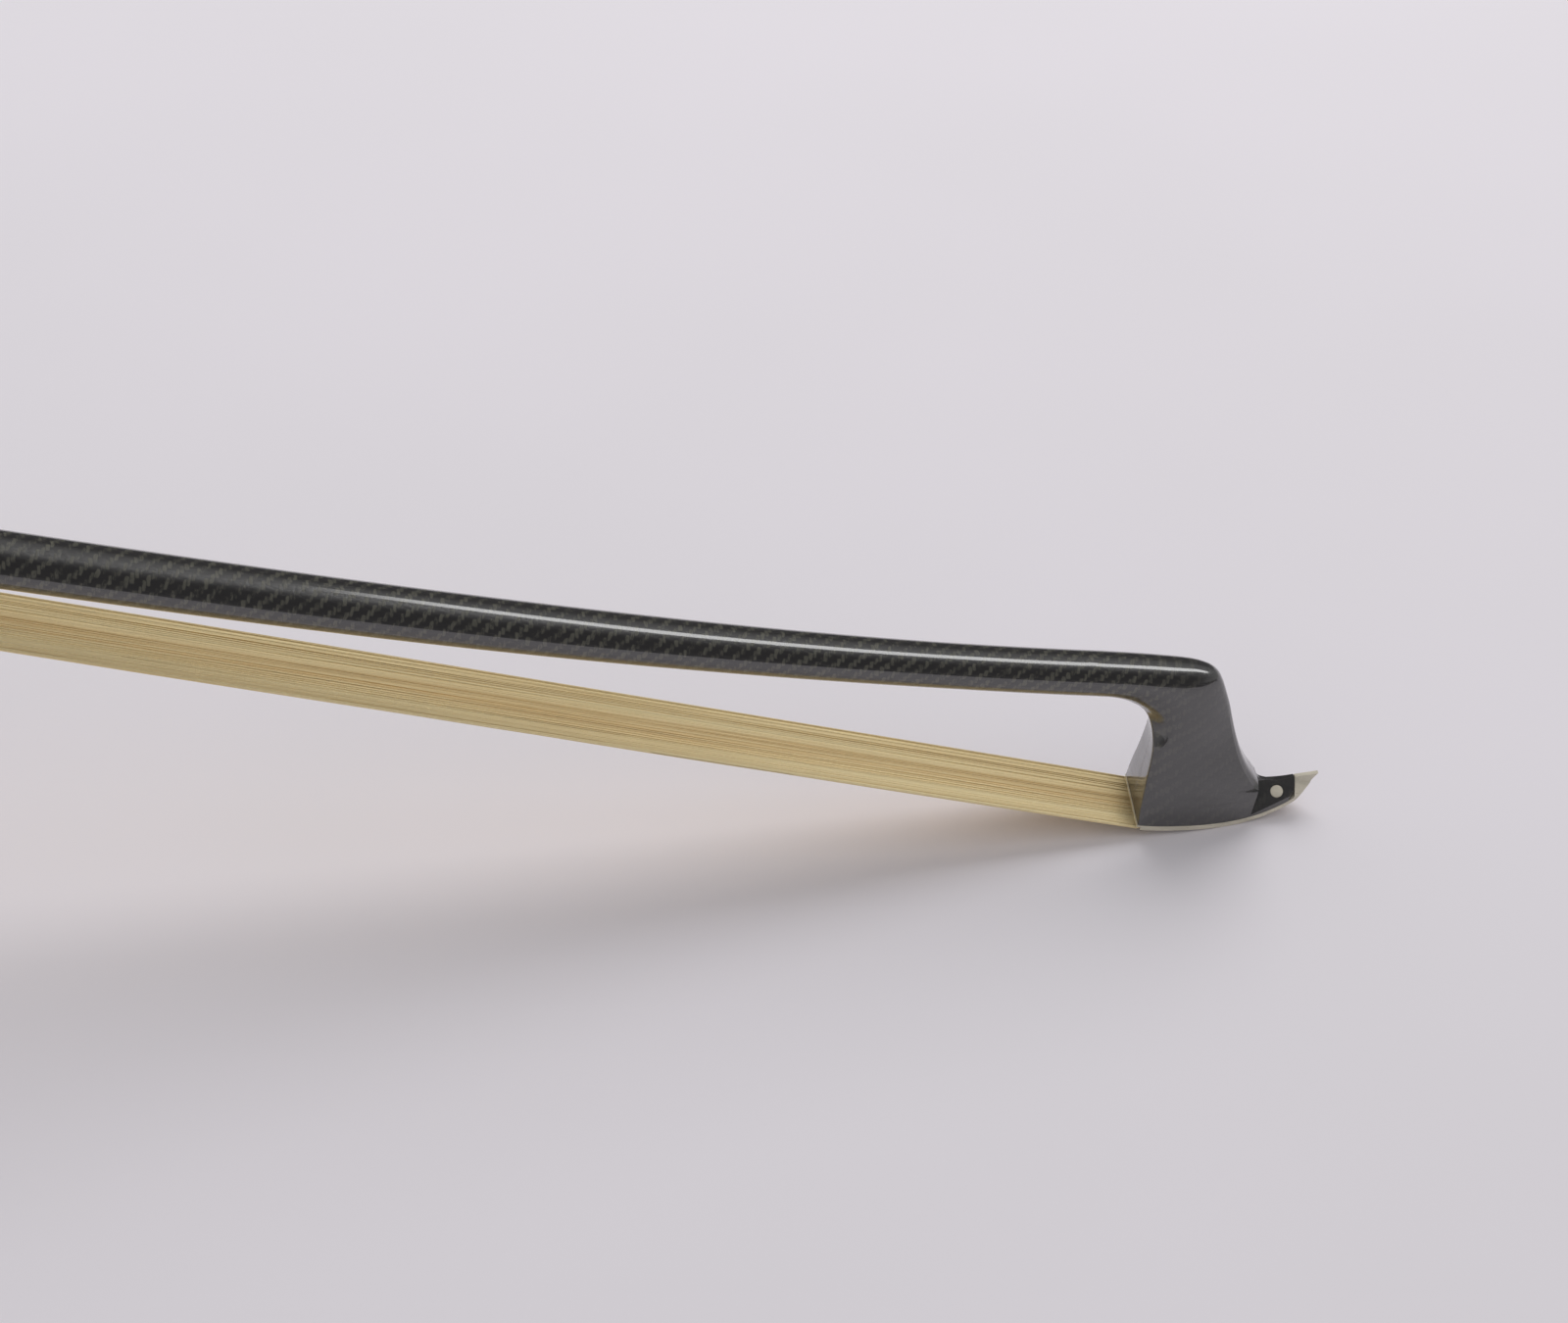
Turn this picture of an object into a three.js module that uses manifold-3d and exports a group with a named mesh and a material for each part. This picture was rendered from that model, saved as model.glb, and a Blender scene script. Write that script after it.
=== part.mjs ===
// Cello bow with a moulded carbon stick, a wooden frog and a ribbon of horsehair.
//
// Units are millimetres. +X runs along the bow from the adjusting button to the nose of the head, +Z is up
// with the hair underneath, and +Y is across the bow. The bow stands on the mouth of its ferrule and on the
// heel of its head. The row's origin is under the middle of its length, on that surface.
//
// The bow is laid out from the heel of the head, where x is zero, and the whole group is then centred.

import * as THREE from 'three';
import { mergeVertices } from 'three/addons/utils/BufferGeometryUtils.js';
import Module from 'manifold-3d';

const wasm = await Module();
wasm.setup();

// Clearances
const snug = 0.08;
const glueGap = 0.15;
const slideGap = 0.3;
const overrun = 2;

// Stick and its camber
const hairSpan = 610;
const lowPointReach = 310;
const lowPointHeight = 9.9;
const handleLead = 35;
const handleFrontHeight = 23.2;
const headLineHeight = 23.6;
const joinReach = 11.5;
const handleAcross = 10.2;
const octagonLead = 24;
const roundLead = 72;
const stationPitch = 22;
const nippleLength = 2.4;
const nippleRadius = 3.2;

// Head
const headHeight = 25.2;
const headWidth = 12.2;
const noseReach = 22.4;
const noseRise = 6.4;
const soleRise = 2.8;
const headMortiseStart = 5;
const headMortiseLength = 6.4;
const headMortiseWidth = 8;
const headMortiseDepth = 5.2;
const headMortiseTopLength = 5.2;
const headMortiseTopWidth = 4.4;

// Head plate
const plateThickness = 0.85;
const beakReach = 25.3;
const beakRise = 10.1;
const noseTopReach = 21.95;
const noseTopRise = 8.8;
const beakTipWidth = 1.4;
const beakRidgeWidth = 0.7;

// Nose facets and the pins let into them
const noseFacetStart = 16.2;
const noseFacetReach = 17;
const noseFacetRise = 3.2;
const noseFacetHalfWidth = 3.95;
const nosePinRadius = 0.92;
const nosePinReach = 19.8;
const nosePinRise = 6.66;
const nosePinDepth = 0.8;

// Hair
const hairThickness = 0.5;
const hairWidthAtHead = 12;
const hairWidthAtFerrule = 11.2;
const hairWidthInHead = 7.4;
const hairWidthInFrog = 8;
const hairRidges = 14;
const hairRidgeDepth = 0.12;
const tipKnotHeight = 1.5;
const frogKnotHeight = 2.4;

// Frog
const frogLength = 54;
const frogGap = 5;
const frogBottomWidth = 13.6;
const frogWaistWidth = 9.9;
const frogWaistRise = 16;
const frogTopWidth = 12.6;
const thumbReach = 11;
const thumbNoseHeight = 2.6;
const throatDepth = 5.6;
const railRise = 1;
const tongueFloor = 3.2;
const tongueEndReach = 0.8;

// Ferrule and wedge
const ferruleLength = 12.5;
const ferruleHeight = 8.8;
const ferruleSpring = 4.6;
const ferruleWall = 0.55;
const ferruleCorner = 1;
const wedgeLength = 9.8;
const wedgeWidth = 11.4;

// Frog mortise, slide and hair channel
const frogMortiseReach = 17;
const frogMortiseLength = 11;
const frogMortiseWidth = 8.8;
const frogMortiseDepth = 9.5;
const slideWidth = 9;
const slideFlare = 0.6;
const slideHeight = 2.2;
const pearlThickness = 0.75;
const channelWidth = 11.4;

// Heel plate
const heelSoleLength = 9;
const heelBackHeight = 13;
const heelThickness = 0.7;
const heelPinRadius = 0.7;
const heelPinLength = 4;
const heelPinRise = 9;
const heelPinInset = 5;

// Pearl eyes
const eyeReach = 35;
const eyeRise = 10.6;
const eyeRadius = 3.2;
const eyeDepth = 1.3;
const eyeRingRadius = 4.7;
const eyeRingWidth = 0.55;
const eyeRingDepth = 1.1;

// Underslide and its pins
const undersideThickness = 0.45;
const undersideEndInset = 1.2;
const undersidePinRadius = 0.8;
const undersidePinLength = 4.5;
const undersidePinInset = 5;

// Eyelet
const eyeletReach = 32;
const eyeletLength = 5.4;
const eyeletWidth = 5;
const eyeletHeight = 6.2;
const eyeletShankRadius = 2;
const eyeletShankLength = 7.5;

// Adjusting screw and its travel
const screwRadius = 1.6;
const screwGap = 0.3;
const screwFrontReach = 12;
const boreFrontReach = 8;
const screwTailDepth = 12;
const tightenTravel = 3.2;
const loosenTravel = 4;
const travelEase = 0.8;

// Button
const buttonLength = 18;
const buttonAcross = 9.8;
const buttonRingLength = 3.4;
const buttonNeckRadius = 3.4;
const buttonRecess = 0.35;
const buttonEdge = 0.5;
const buttonPearlRadius = 2.4;
const buttonPearlThickness = 0.9;

// Grip
const leatherLength = 27;
const leatherRearThickness = 1.9;
const leatherFrontThickness = 0.9;
const leatherEase = 0.6;
const windingLoops = 20;
const windingPitch = 3.2;
const windingStripWidth = 2.5;
const windingStripThickness = 0.75;
const windingTurnLength = 2.6;
const collarLength = 5;
const collarThickness = 0.9;

// Counts of facets and steps
const octagonSides = 8;
const sideCount = 24;
const arcSteps = 6;
const pinSides = 16;
const stripSides = 6;
const stepsPerLoop = 24;
const stripTurnSteps = 4;
const plateSteps = 14;
const knotSides = 12;
const knotRows = 8;

// Shares of the stick: how far from the heel back to the handle's front, and width over the handle's
const stickTaperShares = [
  [0, 0.637], [0.05, 0.637], [0.097, 0.665], [0.145, 0.708], [0.19, 0.74], [0.26, 0.772],
  [0.43, 0.842], [0.69, 0.915], [0.89, 0.97], [1, 1],
];
const camberPowerShare = 3.77;
const handlePowerShare = 1.8;

// Shares of the head, from its sole up to the stick: rear x, rear z, front x and front z (x of the nose's
// reach, z of the head's height), sag (of the sole's own), half widths at rear, widest and front (of half
// the head's width), taper power, and squareness from 1 for the head to 0 for the round stick
const headShares = [
  [0, 0, 1, 0.254, 1, 0.99, 1, 0.36, 1.6, 1],
  [-0.005, 0.04, 0.996, 0.298, 0.85, 0.945, 0.96, 0.33, 1.6, 1],
  [-0.011, 0.079, 0.98, 0.347, 0.7, 0.9, 0.92, 0.31, 1.6, 1],
  [-0.015, 0.127, 0.926, 0.313, 0.5, 0.85, 0.874, 0.36, 1.7, 1],
  [-0.019, 0.175, 0.855, 0.296, 0.35, 0.8, 0.83, 0.42, 1.8, 1],
  [-0.023, 0.238, 0.776, 0.299, 0.2, 0.73, 0.765, 0.44, 1.9, 1],
  [-0.029, 0.317, 0.683, 0.361, 0.1, 0.65, 0.69, 0.4, 1.9, 1],
  [-0.036, 0.397, 0.603, 0.437, 0, 0.585, 0.62, 0.35, 2, 1],
  [-0.049, 0.476, 0.536, 0.52, 0, 0.492, 0.59, 0.3, 2, 1],
  [-0.074, 0.552, 0.478, 0.607, 0, 0.287, 0.574, 0.26, 2, 0.95],
  [-0.118, 0.615, 0.429, 0.69, 0, 0.098, 0.557, 0.22, 2.1, 0.85],
  [-0.17, 0.653, 0.378, 0.781, 0, 0.049, 0.549, 0.18, 2.2, 0.68],
  [-0.223, 0.677, 0.318, 0.872, 0, 0.049, 0.544, 0.18, 2.3, 0.5],
  [-0.255, 0.685, 0.276, 0.93, 0, 0.049, 0.543, 0.18, 2.3, 0.42],
  [-0.285, 0.692, 0.228, 0.977, 0, 0.049, 0.541, 0.18, 2.4, 0.34],
  [-0.315, 0.697, 0.163, 1.004, 0, 0.049, 0.54, 0.18, 2.4, 0.26],
  [-0.348, 0.702, 0.072, 1.013, 0, 0.049, 0.538, 0.18, 2.4, 0.18],
  [-0.42, 0.706, -0.147, 0.998, 0, 0.049, 0.534, 0.18, 2.4, 0.08],
];
const noseFacetLeanShare = 0.929;
const noseFacetRiseShare = 0.317;
const solePowerShare = 4.5;
const rearCornerShares = [0.45, 1];
const rearRoundShares = [0.45, 1];
const rearRoundReachShares = [0.06, 0.35];
const noseRoundShare = 0.35;

// Shares of the hair and of the grip: place along the piece, then share of its thicknesses
const hairBendShare = 0.4;
const leatherShares = [
  [0, 0, 1], [0.04, 0.75, 0], [0.12, 1, 0], [0.3, 1, 0], [0.7, 0.5, 0.5], [0.97, 0, 1], [1, 0, 0.5],
];
const collarShares = [[0, 0.5], [0.1, 1], [0.8, 1], [1, 0.35]];

// Places along the bow, from the heel of the head
const headSeat = plateThickness + snug;
const handleFrontX = -(hairSpan - handleLead);
const handleRun = -lowPointReach - handleFrontX;
const handleSlope = (handlePowerShare * (handleFrontHeight - lowPointHeight)) / handleRun;
const handlePitch = Math.atan(handleSlope);
const frogDrop = Math.cos(handlePitch) * (handleFrontHeight + handleLead * handleSlope);
const mouthX = -hairSpan + frogDrop * Math.sin(handlePitch);
const mouthHeight = frogDrop * Math.cos(handlePitch);

// The handle's own frame starts on the stick's axis above the mouth of the ferrule
const handleApothem = handleAcross / 2;
const buttX = -(frogLength + frogGap);
const buttonFrontX = buttX - slideGap;
const buttonRearX = buttonFrontX - buttonLength;
const handleMatrix = new THREE.Matrix4()
  .makeRotationY(handlePitch)
  .setPosition(mouthX, 0, mouthHeight);
const frogMatrix = handleMatrix.clone().multiply(new THREE.Matrix4().makeTranslation(0, 0, -frogDrop));

// Heights over the frog's base
const eighthTurn = (2 * Math.PI) / octagonSides;
const flatShare = Math.tan(eighthTurn / 2);
const undersideTop = frogDrop - handleApothem - slideGap;
const frogSeat = undersideTop - undersideThickness - glueGap;
const railTop = frogDrop - handleApothem * flatShare - railRise;

function material(color, roughness, metalness) {
  return new THREE.MeshStandardMaterial({ color, roughness, metalness });
}

const finishes = {
  carbon: material(0x2b2a28, 0.25, 0),
  bone: material(0xd8d0bd, 0.45, 0),
  hair: material(0xc6b48f, 0.6, 0),
  boxwood: material(0xb98d55, 0.6, 0),
  ebony: material(0x1b1613, 0.38, 0),
  nickelSilver: material(0xc9c7c0, 0.25, 1),
  brass: material(0xb08a45, 0.35, 1),
  steel: material(0x9a9a98, 0.35, 1),
  pearl: material(0xdfe0dc, 0.2, 0),
  leather: material(0x1f1a17, 0.7, 0),
  strip: material(0x2a211b, 0.4, 0),
};

// Solids and meshes

function asSolid(geometry) {
  const bare = geometry.clone();
  bare.deleteAttribute('normal');
  bare.deleteAttribute('uv');
  const merged = mergeVertices(bare);
  return new wasm.Manifold(
    new wasm.Mesh({
      numProp: 3,
      vertProperties: new Float32Array(merged.attributes.position.array),
      triVerts: new Uint32Array(merged.index.array),
    }),
  );
}

function asGeometry(solid) {
  const mesh = solid.getMesh();
  const geometry = new THREE.BufferGeometry();
  geometry.setAttribute('position', new THREE.BufferAttribute(new Float32Array(mesh.vertProperties), 3));
  geometry.setIndex(new THREE.BufferAttribute(new Uint32Array(mesh.triVerts), 1));
  geometry.computeVertexNormals();
  return geometry;
}

function joined(first, ...others) {
  return others.reduce((sum, other) => sum.add(asSolid(other)), asSolid(first));
}

function cut(solid, ...cutters) {
  return cutters.reduce((rest, cutter) => rest.subtract(asSolid(cutter)), solid);
}

function named(name, geometry, finish) {
  const mesh = new THREE.Mesh(geometry, finish);
  mesh.name = name;
  return mesh;
}

// A closed body from points and triangles, turned so that its faces point outwards
function closedBody(points, triangles) {
  const geometry = new THREE.BufferGeometry();
  geometry.setAttribute('position', new THREE.Float32BufferAttribute(points.flatMap((p) => p.toArray()), 3));
  let volume = 0;
  for (const [a, b, c] of triangles) {
    volume += points[a].dot(points[b].clone().cross(points[c]));
  }
  const turned = volume < 0 ? triangles.map(([a, b, c]) => [a, c, b]) : triangles;
  geometry.setIndex(turned.flat());
  geometry.computeVertexNormals();
  return geometry;
}

function ringBand(triangles, first, second, count) {
  for (let i = 0; i < count; i += 1) {
    const next = (i + 1) % count;
    triangles.push([first + i, first + next, second + next], [first + i, second + next, second + i]);
  }
}

// Rings run up one side and down the other, so a cap is a strip between mirrored points
function ringCap(triangles, start, count, flip) {
  for (let i = 0; i < count / 2 - 1; i += 1) {
    const a = start + i;
    const b = start + i + 1;
    const c = start + count - 2 - i;
    const d = start + count - 1 - i;
    if (flip) {
      triangles.push([a, c, b], [a, d, c]);
    } else {
      triangles.push([a, b, c], [a, c, d]);
    }
  }
}

function loft(rings) {
  const count = rings[0].length;
  const triangles = [];
  for (let i = 0; i < rings.length - 1; i += 1) {
    ringBand(triangles, i * count, (i + 1) * count, count);
  }
  ringCap(triangles, 0, count, true);
  ringCap(triangles, (rings.length - 1) * count, count, false);
  return closedBody(rings.flat(), triangles);
}

// A sleeve: its rings run along the outside and back along the inside
function sleeve(rings) {
  const count = rings[0].length;
  const triangles = [];
  for (let i = 0; i < rings.length; i += 1) {
    ringBand(triangles, i * count, ((i + 1) % rings.length) * count, count);
  }
  return closedBody(rings.flat(), triangles);
}

// A shape drawn in (y, z) and extruded along x
function alongX(shape, fromX, toX) {
  const geometry = new THREE.ExtrudeGeometry(shape, {
    depth: toX - fromX, bevelEnabled: false, curveSegments: arcSteps,
  });
  const turn = new THREE.Matrix4().set(0, 0, 1, fromX, 1, 0, 0, 0, 0, 1, 0, 0, 0, 0, 0, 1);
  return geometry.applyMatrix4(turn);
}

// A shape drawn in (x, z) and extruded across y, with its middle at y zero
function acrossY(shape, width) {
  const geometry = new THREE.ExtrudeGeometry(shape, {
    depth: width, bevelEnabled: false, curveSegments: arcSteps,
  });
  return geometry.rotateX(Math.PI / 2).translate(0, width / 2, 0);
}

function polygon(points) {
  return new THREE.Shape(points.map(([a, b]) => new THREE.Vector2(a, b)));
}

function box(fromX, toX, width, fromZ, toZ) {
  const geometry = new THREE.BoxGeometry(toX - fromX, width, toZ - fromZ);
  return geometry.translate((fromX + toX) / 2, 0, (fromZ + toZ) / 2);
}

function rodAlongX(radius, fromX, toX, z) {
  const rod = new THREE.CylinderGeometry(radius, radius, toX - fromX, pinSides);
  return rod.rotateZ(-Math.PI / 2).translate((fromX + toX) / 2, 0, z);
}

function rodAcrossY(radius, fromY, toY, x, z) {
  const rod = new THREE.CylinderGeometry(radius, radius, toY - fromY, pinSides);
  return rod.translate(x, (fromY + toY) / 2, z);
}

function rodUp(radius, fromZ, toZ, x) {
  const rod = new THREE.CylinderGeometry(radius, radius, toZ - fromZ, pinSides);
  return rod.rotateX(Math.PI / 2).translate(x, 0, (fromZ + toZ) / 2);
}

// A block whose levels are rectangles of their own length and width
function taperedBlock(levels) {
  return loft(levels.map(({ fromX, toX, width, z }) => [
    new THREE.Vector3(fromX, width / 2, z),
    new THREE.Vector3(toX, width / 2, z),
    new THREE.Vector3(toX, -width / 2, z),
    new THREE.Vector3(fromX, -width / 2, z),
  ]));
}

function octagonPoints(apothem) {
  const radius = apothem / Math.cos(eighthTurn / 2);
  return Array.from({ length: octagonSides }, (_, i) => {
    const angle = (i + 1 / 2) * eighthTurn;
    return [radius * Math.sin(angle), -radius * Math.cos(angle)];
  });
}

// The stick's axis, its slope and its girth at a place along the bow

function axisHeight(x) {
  if (x < handleFrontX) {
    return handleFrontHeight + (handleFrontX - x) * handleSlope;
  }
  if (x < -lowPointReach) {
    const share = (-lowPointReach - x) / handleRun;
    return lowPointHeight + (handleFrontHeight - lowPointHeight) * share ** handlePowerShare;
  }
  const share = (x + lowPointReach) / lowPointReach;
  return lowPointHeight + (headLineHeight - lowPointHeight) * share ** camberPowerShare;
}

function axisSlope(x) {
  if (x < handleFrontX) {
    return -handleSlope;
  }
  if (x < -lowPointReach) {
    const share = (-lowPointReach - x) / handleRun;
    return -handleSlope * share ** (handlePowerShare - 1);
  }
  const share = (x + lowPointReach) / lowPointReach;
  const endSlope = (camberPowerShare * (headLineHeight - lowPointHeight)) / lowPointReach;
  return endSlope * share ** (camberPowerShare - 1);
}

function stickHalf(x) {
  const run = THREE.MathUtils.clamp(x / handleFrontX, 0, 1);
  const next = Math.max(1, stickTaperShares.findIndex(([share]) => share >= run));
  const [fromRun, fromGirth] = stickTaperShares[next - 1];
  const [toRun, toGirth] = stickTaperShares[next];
  const share = (run - fromRun) / (toRun - fromRun);
  return handleApothem * THREE.MathUtils.lerp(fromGirth, toGirth, share);
}

// One where the stick is octagonal, zero where it is round
function octagonShare(x) {
  const roundX = -hairSpan + roundLead;
  const octagonX = -hairSpan + octagonLead;
  return 1 - THREE.MathUtils.smoothstep(x, octagonX, roundX);
}

function stickRadius(x, angle, extra = 0) {
  const half = stickHalf(x) + extra;
  const fold = THREE.MathUtils.euclideanModulo(angle + eighthTurn / 2, eighthTurn) - eighthTurn / 2;
  return THREE.MathUtils.lerp(half, half / Math.cos(fold), octagonShare(x));
}

// Angles run from the underside up one side and down the other, with points on the octagon's corners
function sectionAngles() {
  const step = (2 * Math.PI) / sideCount;
  return Array.from({ length: sideCount }, (_, i) => (i + 1 / 2) * step);
}

function stickFrame(x) {
  const slope = Math.atan(axisSlope(x));
  return {
    centre: new THREE.Vector3(x, 0, axisHeight(x)),
    ahead: new THREE.Vector3(Math.cos(slope), 0, Math.sin(slope)),
    up: new THREE.Vector3(-Math.sin(slope), 0, Math.cos(slope)),
    side: new THREE.Vector3(0, 1, 0),
  };
}

function onStick(x, angle, radius) {
  const { centre, up, side } = stickFrame(x);
  return centre.clone().addScaledVector(up, -radius * Math.cos(angle))
    .addScaledVector(side, radius * Math.sin(angle));
}

function stickRing(x, extra = 0) {
  return sectionAngles().map((angle) => onStick(x, angle, stickRadius(x, angle, extra)));
}

function handlePlace(x, z = 0) {
  return new THREE.Vector3(x, 0, z).applyMatrix4(handleMatrix);
}

// The head

function soleHeight(x) {
  const share = Math.max(x, 0) / noseReach;
  return headSeat + soleRise * share + (noseRise - soleRise) * share ** solePowerShare;
}

function headHalfWidth(share, rear, widest, front, power) {
  const [nearReach, farReach] = rearRoundReachShares;
  const roundEnd = nearReach + farReach * (1 - rear / widest);
  if (share < roundEnd) {
    return rear + (widest - rear) * Math.sin((Math.PI / 2) * (share / roundEnd));
  }
  return front + (widest - front) * (1 - ((share - roundEnd) / (1 - roundEnd)) ** power);
}

function soleHalfWidth(x) {
  const [, , , , , rear, widest, front, power] = headShares[0];
  const share = THREE.MathUtils.clamp(x / noseReach, 0, 1);
  return (headWidth / 2) * headHalfWidth(share, rear, widest, front, power);
}

// The sides of the nose are planed back to two leaning facets, which start at a crease across the cheek
function noseFacetHalf(x, z) {
  return noseFacetHalfWidth + noseFacetRiseShare * (x - noseFacetReach)
    - noseFacetLeanShare * (z - headSeat - noseFacetRise);
}

function facetedHalf(x, z, half) {
  const facet = Math.max(noseFacetHalf(x, z), beakRidgeWidth / 2);
  const depth = THREE.MathUtils.smoothstep(x, noseFacetStart, noseFacetReach);
  return Math.min(half, THREE.MathUtils.lerp(half, facet, depth));
}

// One side of a square section from its rear to its front, as shares of its length and half widths
function squareSide(row, length) {
  const [, , , , , rear, widest, front, power] = row;
  const [nearReach, farReach] = rearRoundReachShares;
  const roundEnd = nearReach + farReach * (1 - rear / widest);
  const rest = sideCount / 2 - rearCornerShares.length - rearRoundShares.length - 1;
  const round = (noseRoundShare * front * headWidth) / 2 / length;
  const side = [
    ...rearCornerShares.map((share) => [0, rear * share]),
    ...rearRoundShares.map((share) => share * roundEnd)
      .map((share) => [share, headHalfWidth(share, rear, widest, front, power)]),
  ];
  for (let i = 1; i <= rest; i += 1) {
    const share = roundEnd + ((1 - roundEnd) * i) / rest;
    side.push([i === rest ? 1 - round : share, headHalfWidth(share, rear, widest, front, power)]);
  }
  return [...side, [1, front * noseRoundShare]];
}

function headRing(row) {
  const [rearX, rearZ, frontX, frontZ, sag, , widest, , , square] = row;
  const from = new THREE.Vector2(rearX * noseReach, headSeat + rearZ * headHeight);
  const to = new THREE.Vector2(frontX * noseReach, headSeat + frontZ * headHeight);
  const drop = sag * (noseRise - soleRise);
  const side = squareSide(row, from.distanceTo(to)).map(([along, width], i) => {
    const angle = ((i + 1 / 2) * 2 * Math.PI) / sideCount;
    const share = THREE.MathUtils.lerp((1 - Math.cos(angle)) / 2, along, square);
    const y = (headWidth / 2) * THREE.MathUtils.lerp(widest * Math.sin(angle), width, square);
    const x = THREE.MathUtils.lerp(from.x, to.x, share);
    const z = THREE.MathUtils.lerp(from.y, to.y, share) - drop * (share - share ** solePowerShare);
    return new THREE.Vector3(x, facetedHalf(x, z, y), z);
  });
  return [...side, ...side.map((p) => new THREE.Vector3(p.x, -p.y, p.z)).reverse()];
}

function stickStations() {
  const run = -joinReach - handleFrontX;
  const count = Math.round(run / stationPitch);
  const stations = [handlePlace(buttX).x];
  for (let i = 0; i <= count; i += 1) {
    stations.push(handleFrontX + (run * i) / count);
  }
  return stations;
}

function stickBlank() {
  const rings = stickStations().map((x) => stickRing(x));
  const headRings = [...headShares].reverse().map(headRing);
  return loft([...rings, ...headRings]);
}

// A level of the head's mortise, at a share of its depth over the sole, drawn in by an inset
function headMortiseLevel(share, inset, z) {
  const length = THREE.MathUtils.lerp(headMortiseLength, headMortiseTopLength, share);
  const width = THREE.MathUtils.lerp(headMortiseWidth, headMortiseTopWidth, share);
  return {
    fromX: headMortiseStart + inset,
    toX: headMortiseStart + length - inset,
    width: width - 2 * inset,
    z,
  };
}

function headMortise() {
  return taperedBlock([
    headMortiseLevel(0, 0, headSeat - overrun),
    headMortiseLevel(0, 0, headSeat),
    headMortiseLevel(1, 0, headSeat + headMortiseDepth),
  ]);
}

function stick() {
  const blank = asSolid(stickBlank());
  const eyeletRear = -eyeletReach - eyeletLength / 2 - tightenTravel - travelEase;
  const eyeletFront = -eyeletReach + eyeletLength / 2 + loosenTravel + travelEase;
  const mortiseWidth = eyeletWidth + 2 * slideGap;
  const mortiseTop = eyeletHeight / 2 + slideGap;
  const nipple = rodAlongX(nippleRadius, buttX - nippleLength, buttX + overrun, 0);
  const bore = rodAlongX(screwRadius + screwGap, buttX - nippleLength - overrun, -boreFrontReach, 0);
  const mortise = box(eyeletRear, eyeletFront, mortiseWidth, -handleAcross, mortiseTop);
  const whole = blank.add(asSolid(nipple.applyMatrix4(handleMatrix)));
  return asGeometry(cut(
    whole,
    bore.applyMatrix4(handleMatrix),
    mortise.applyMatrix4(handleMatrix),
    headMortise(),
    nosePinRod(1, snug),
    nosePinRod(-1, snug),
  ));
}

// A rod square to a nose facet, from a little outside it down to the pin's depth
function nosePinRod(side, grow) {
  const z = headSeat + nosePinRise;
  const foot = new THREE.Vector3(nosePinReach, side * noseFacetHalf(nosePinReach, z), z);
  const out = new THREE.Vector3(-noseFacetRiseShare, side, noseFacetLeanShare).normalize();
  const length = nosePinDepth + overrun;
  const rod = new THREE.CylinderGeometry(nosePinRadius + grow, nosePinRadius + grow, length, pinSides);
  rod.translate(0, length / 2 - nosePinDepth - grow, 0);
  const turn = new THREE.Quaternion().setFromUnitVectors(new THREE.Vector3(0, 1, 0), out);
  return rod.applyQuaternion(turn).translate(...foot.toArray());
}

function nosePin(side) {
  return asGeometry(asSolid(nosePinRod(side, 0)).intersect(asSolid(loft(headShares.map(headRing)))));
}

// The plate follows the sole of the head and turns up in front of the nose as a beak

function tipPlate() {
  const stations = Array.from({ length: plateSteps + 1 }, (_, i) => (noseReach * i) / plateSteps);
  const top = stations.map((x) => [x, soleHeight(x) - snug]).reverse();
  const bottom = stations.map((x) => [x, soleHeight(x) - headSeat]);
  const beakTip = [beakReach, headSeat + beakRise];
  const noseTop = [noseTopReach + glueGap, headSeat + noseTopRise];
  const noseFoot = [noseReach + glueGap, headSeat + noseRise];
  const side = polygon([...bottom, beakTip, noseTop, noseFoot, ...top]);
  const halves = [...stations.map((x) => [x, soleHalfWidth(x)]), [beakReach, beakTipWidth / 2]];
  const plan = polygon([...halves, ...halves.map(([x, y]) => [x, -y]).reverse()]);
  const block = new THREE.ExtrudeGeometry(plan, { depth: headHeight, bevelEnabled: false });
  const opening = box(
    headMortiseStart, headMortiseStart + headMortiseLength, headMortiseWidth, -overrun, headSeat + overrun,
  );
  const solid = asSolid(acrossY(side, headWidth + overrun)).intersect(asSolid(block))
    .intersect(asSolid(beakRoof()));
  return asGeometry(cut(solid, opening).subtract(hairSeat()));
}

// The beak narrows upwards to a ridge, like the nose it covers
function beakRoof() {
  const wide = headWidth;
  const foot = headSeat + noseRise;
  const footHalf = soleHalfWidth(noseReach);
  const ridge = headSeat + noseTopRise;
  const half = [
    [wide, -overrun], [wide, foot], [footHalf, foot], [beakRidgeWidth / 2, ridge],
    [beakRidgeWidth / 2, headHeight],
  ];
  const shape = polygon([...half, ...half.map(([y, z]) => [-y, z]).reverse()]);
  return alongX(shape, -overrun, beakReach + overrun);
}

// The plate's rear is relieved underneath, as a fan, so that the hair lies flush in it
function hairSeat() {
  const wallX = headMortiseStart + overrun / 2;
  const under = (x) => soleHeight(x) - headSeat + hairThickness + snug;
  const depth = polygon([
    [-overrun, under(0)], [0, under(0)], [headMortiseStart, under(headMortiseStart)],
    [wallX, under(wallX)], [wallX, -overrun], [-overrun, -overrun],
  ]);
  const wide = hairWidthAtHead / 2 + slideGap;
  const narrow = hairWidthInHead / 2 + slideGap;
  const fan = polygon([
    [-overrun, wide], [0, wide], [headMortiseStart, narrow], [wallX, narrow],
    [wallX, -narrow], [headMortiseStart, -narrow], [0, -wide], [-overrun, -wide],
  ]);
  const upright = new THREE.ExtrudeGeometry(fan, { depth: headHeight, bevelEnabled: false });
  return asSolid(acrossY(depth, 2 * headWidth)).intersect(asSolid(upright.translate(0, 0, -overrun)));
}

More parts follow.
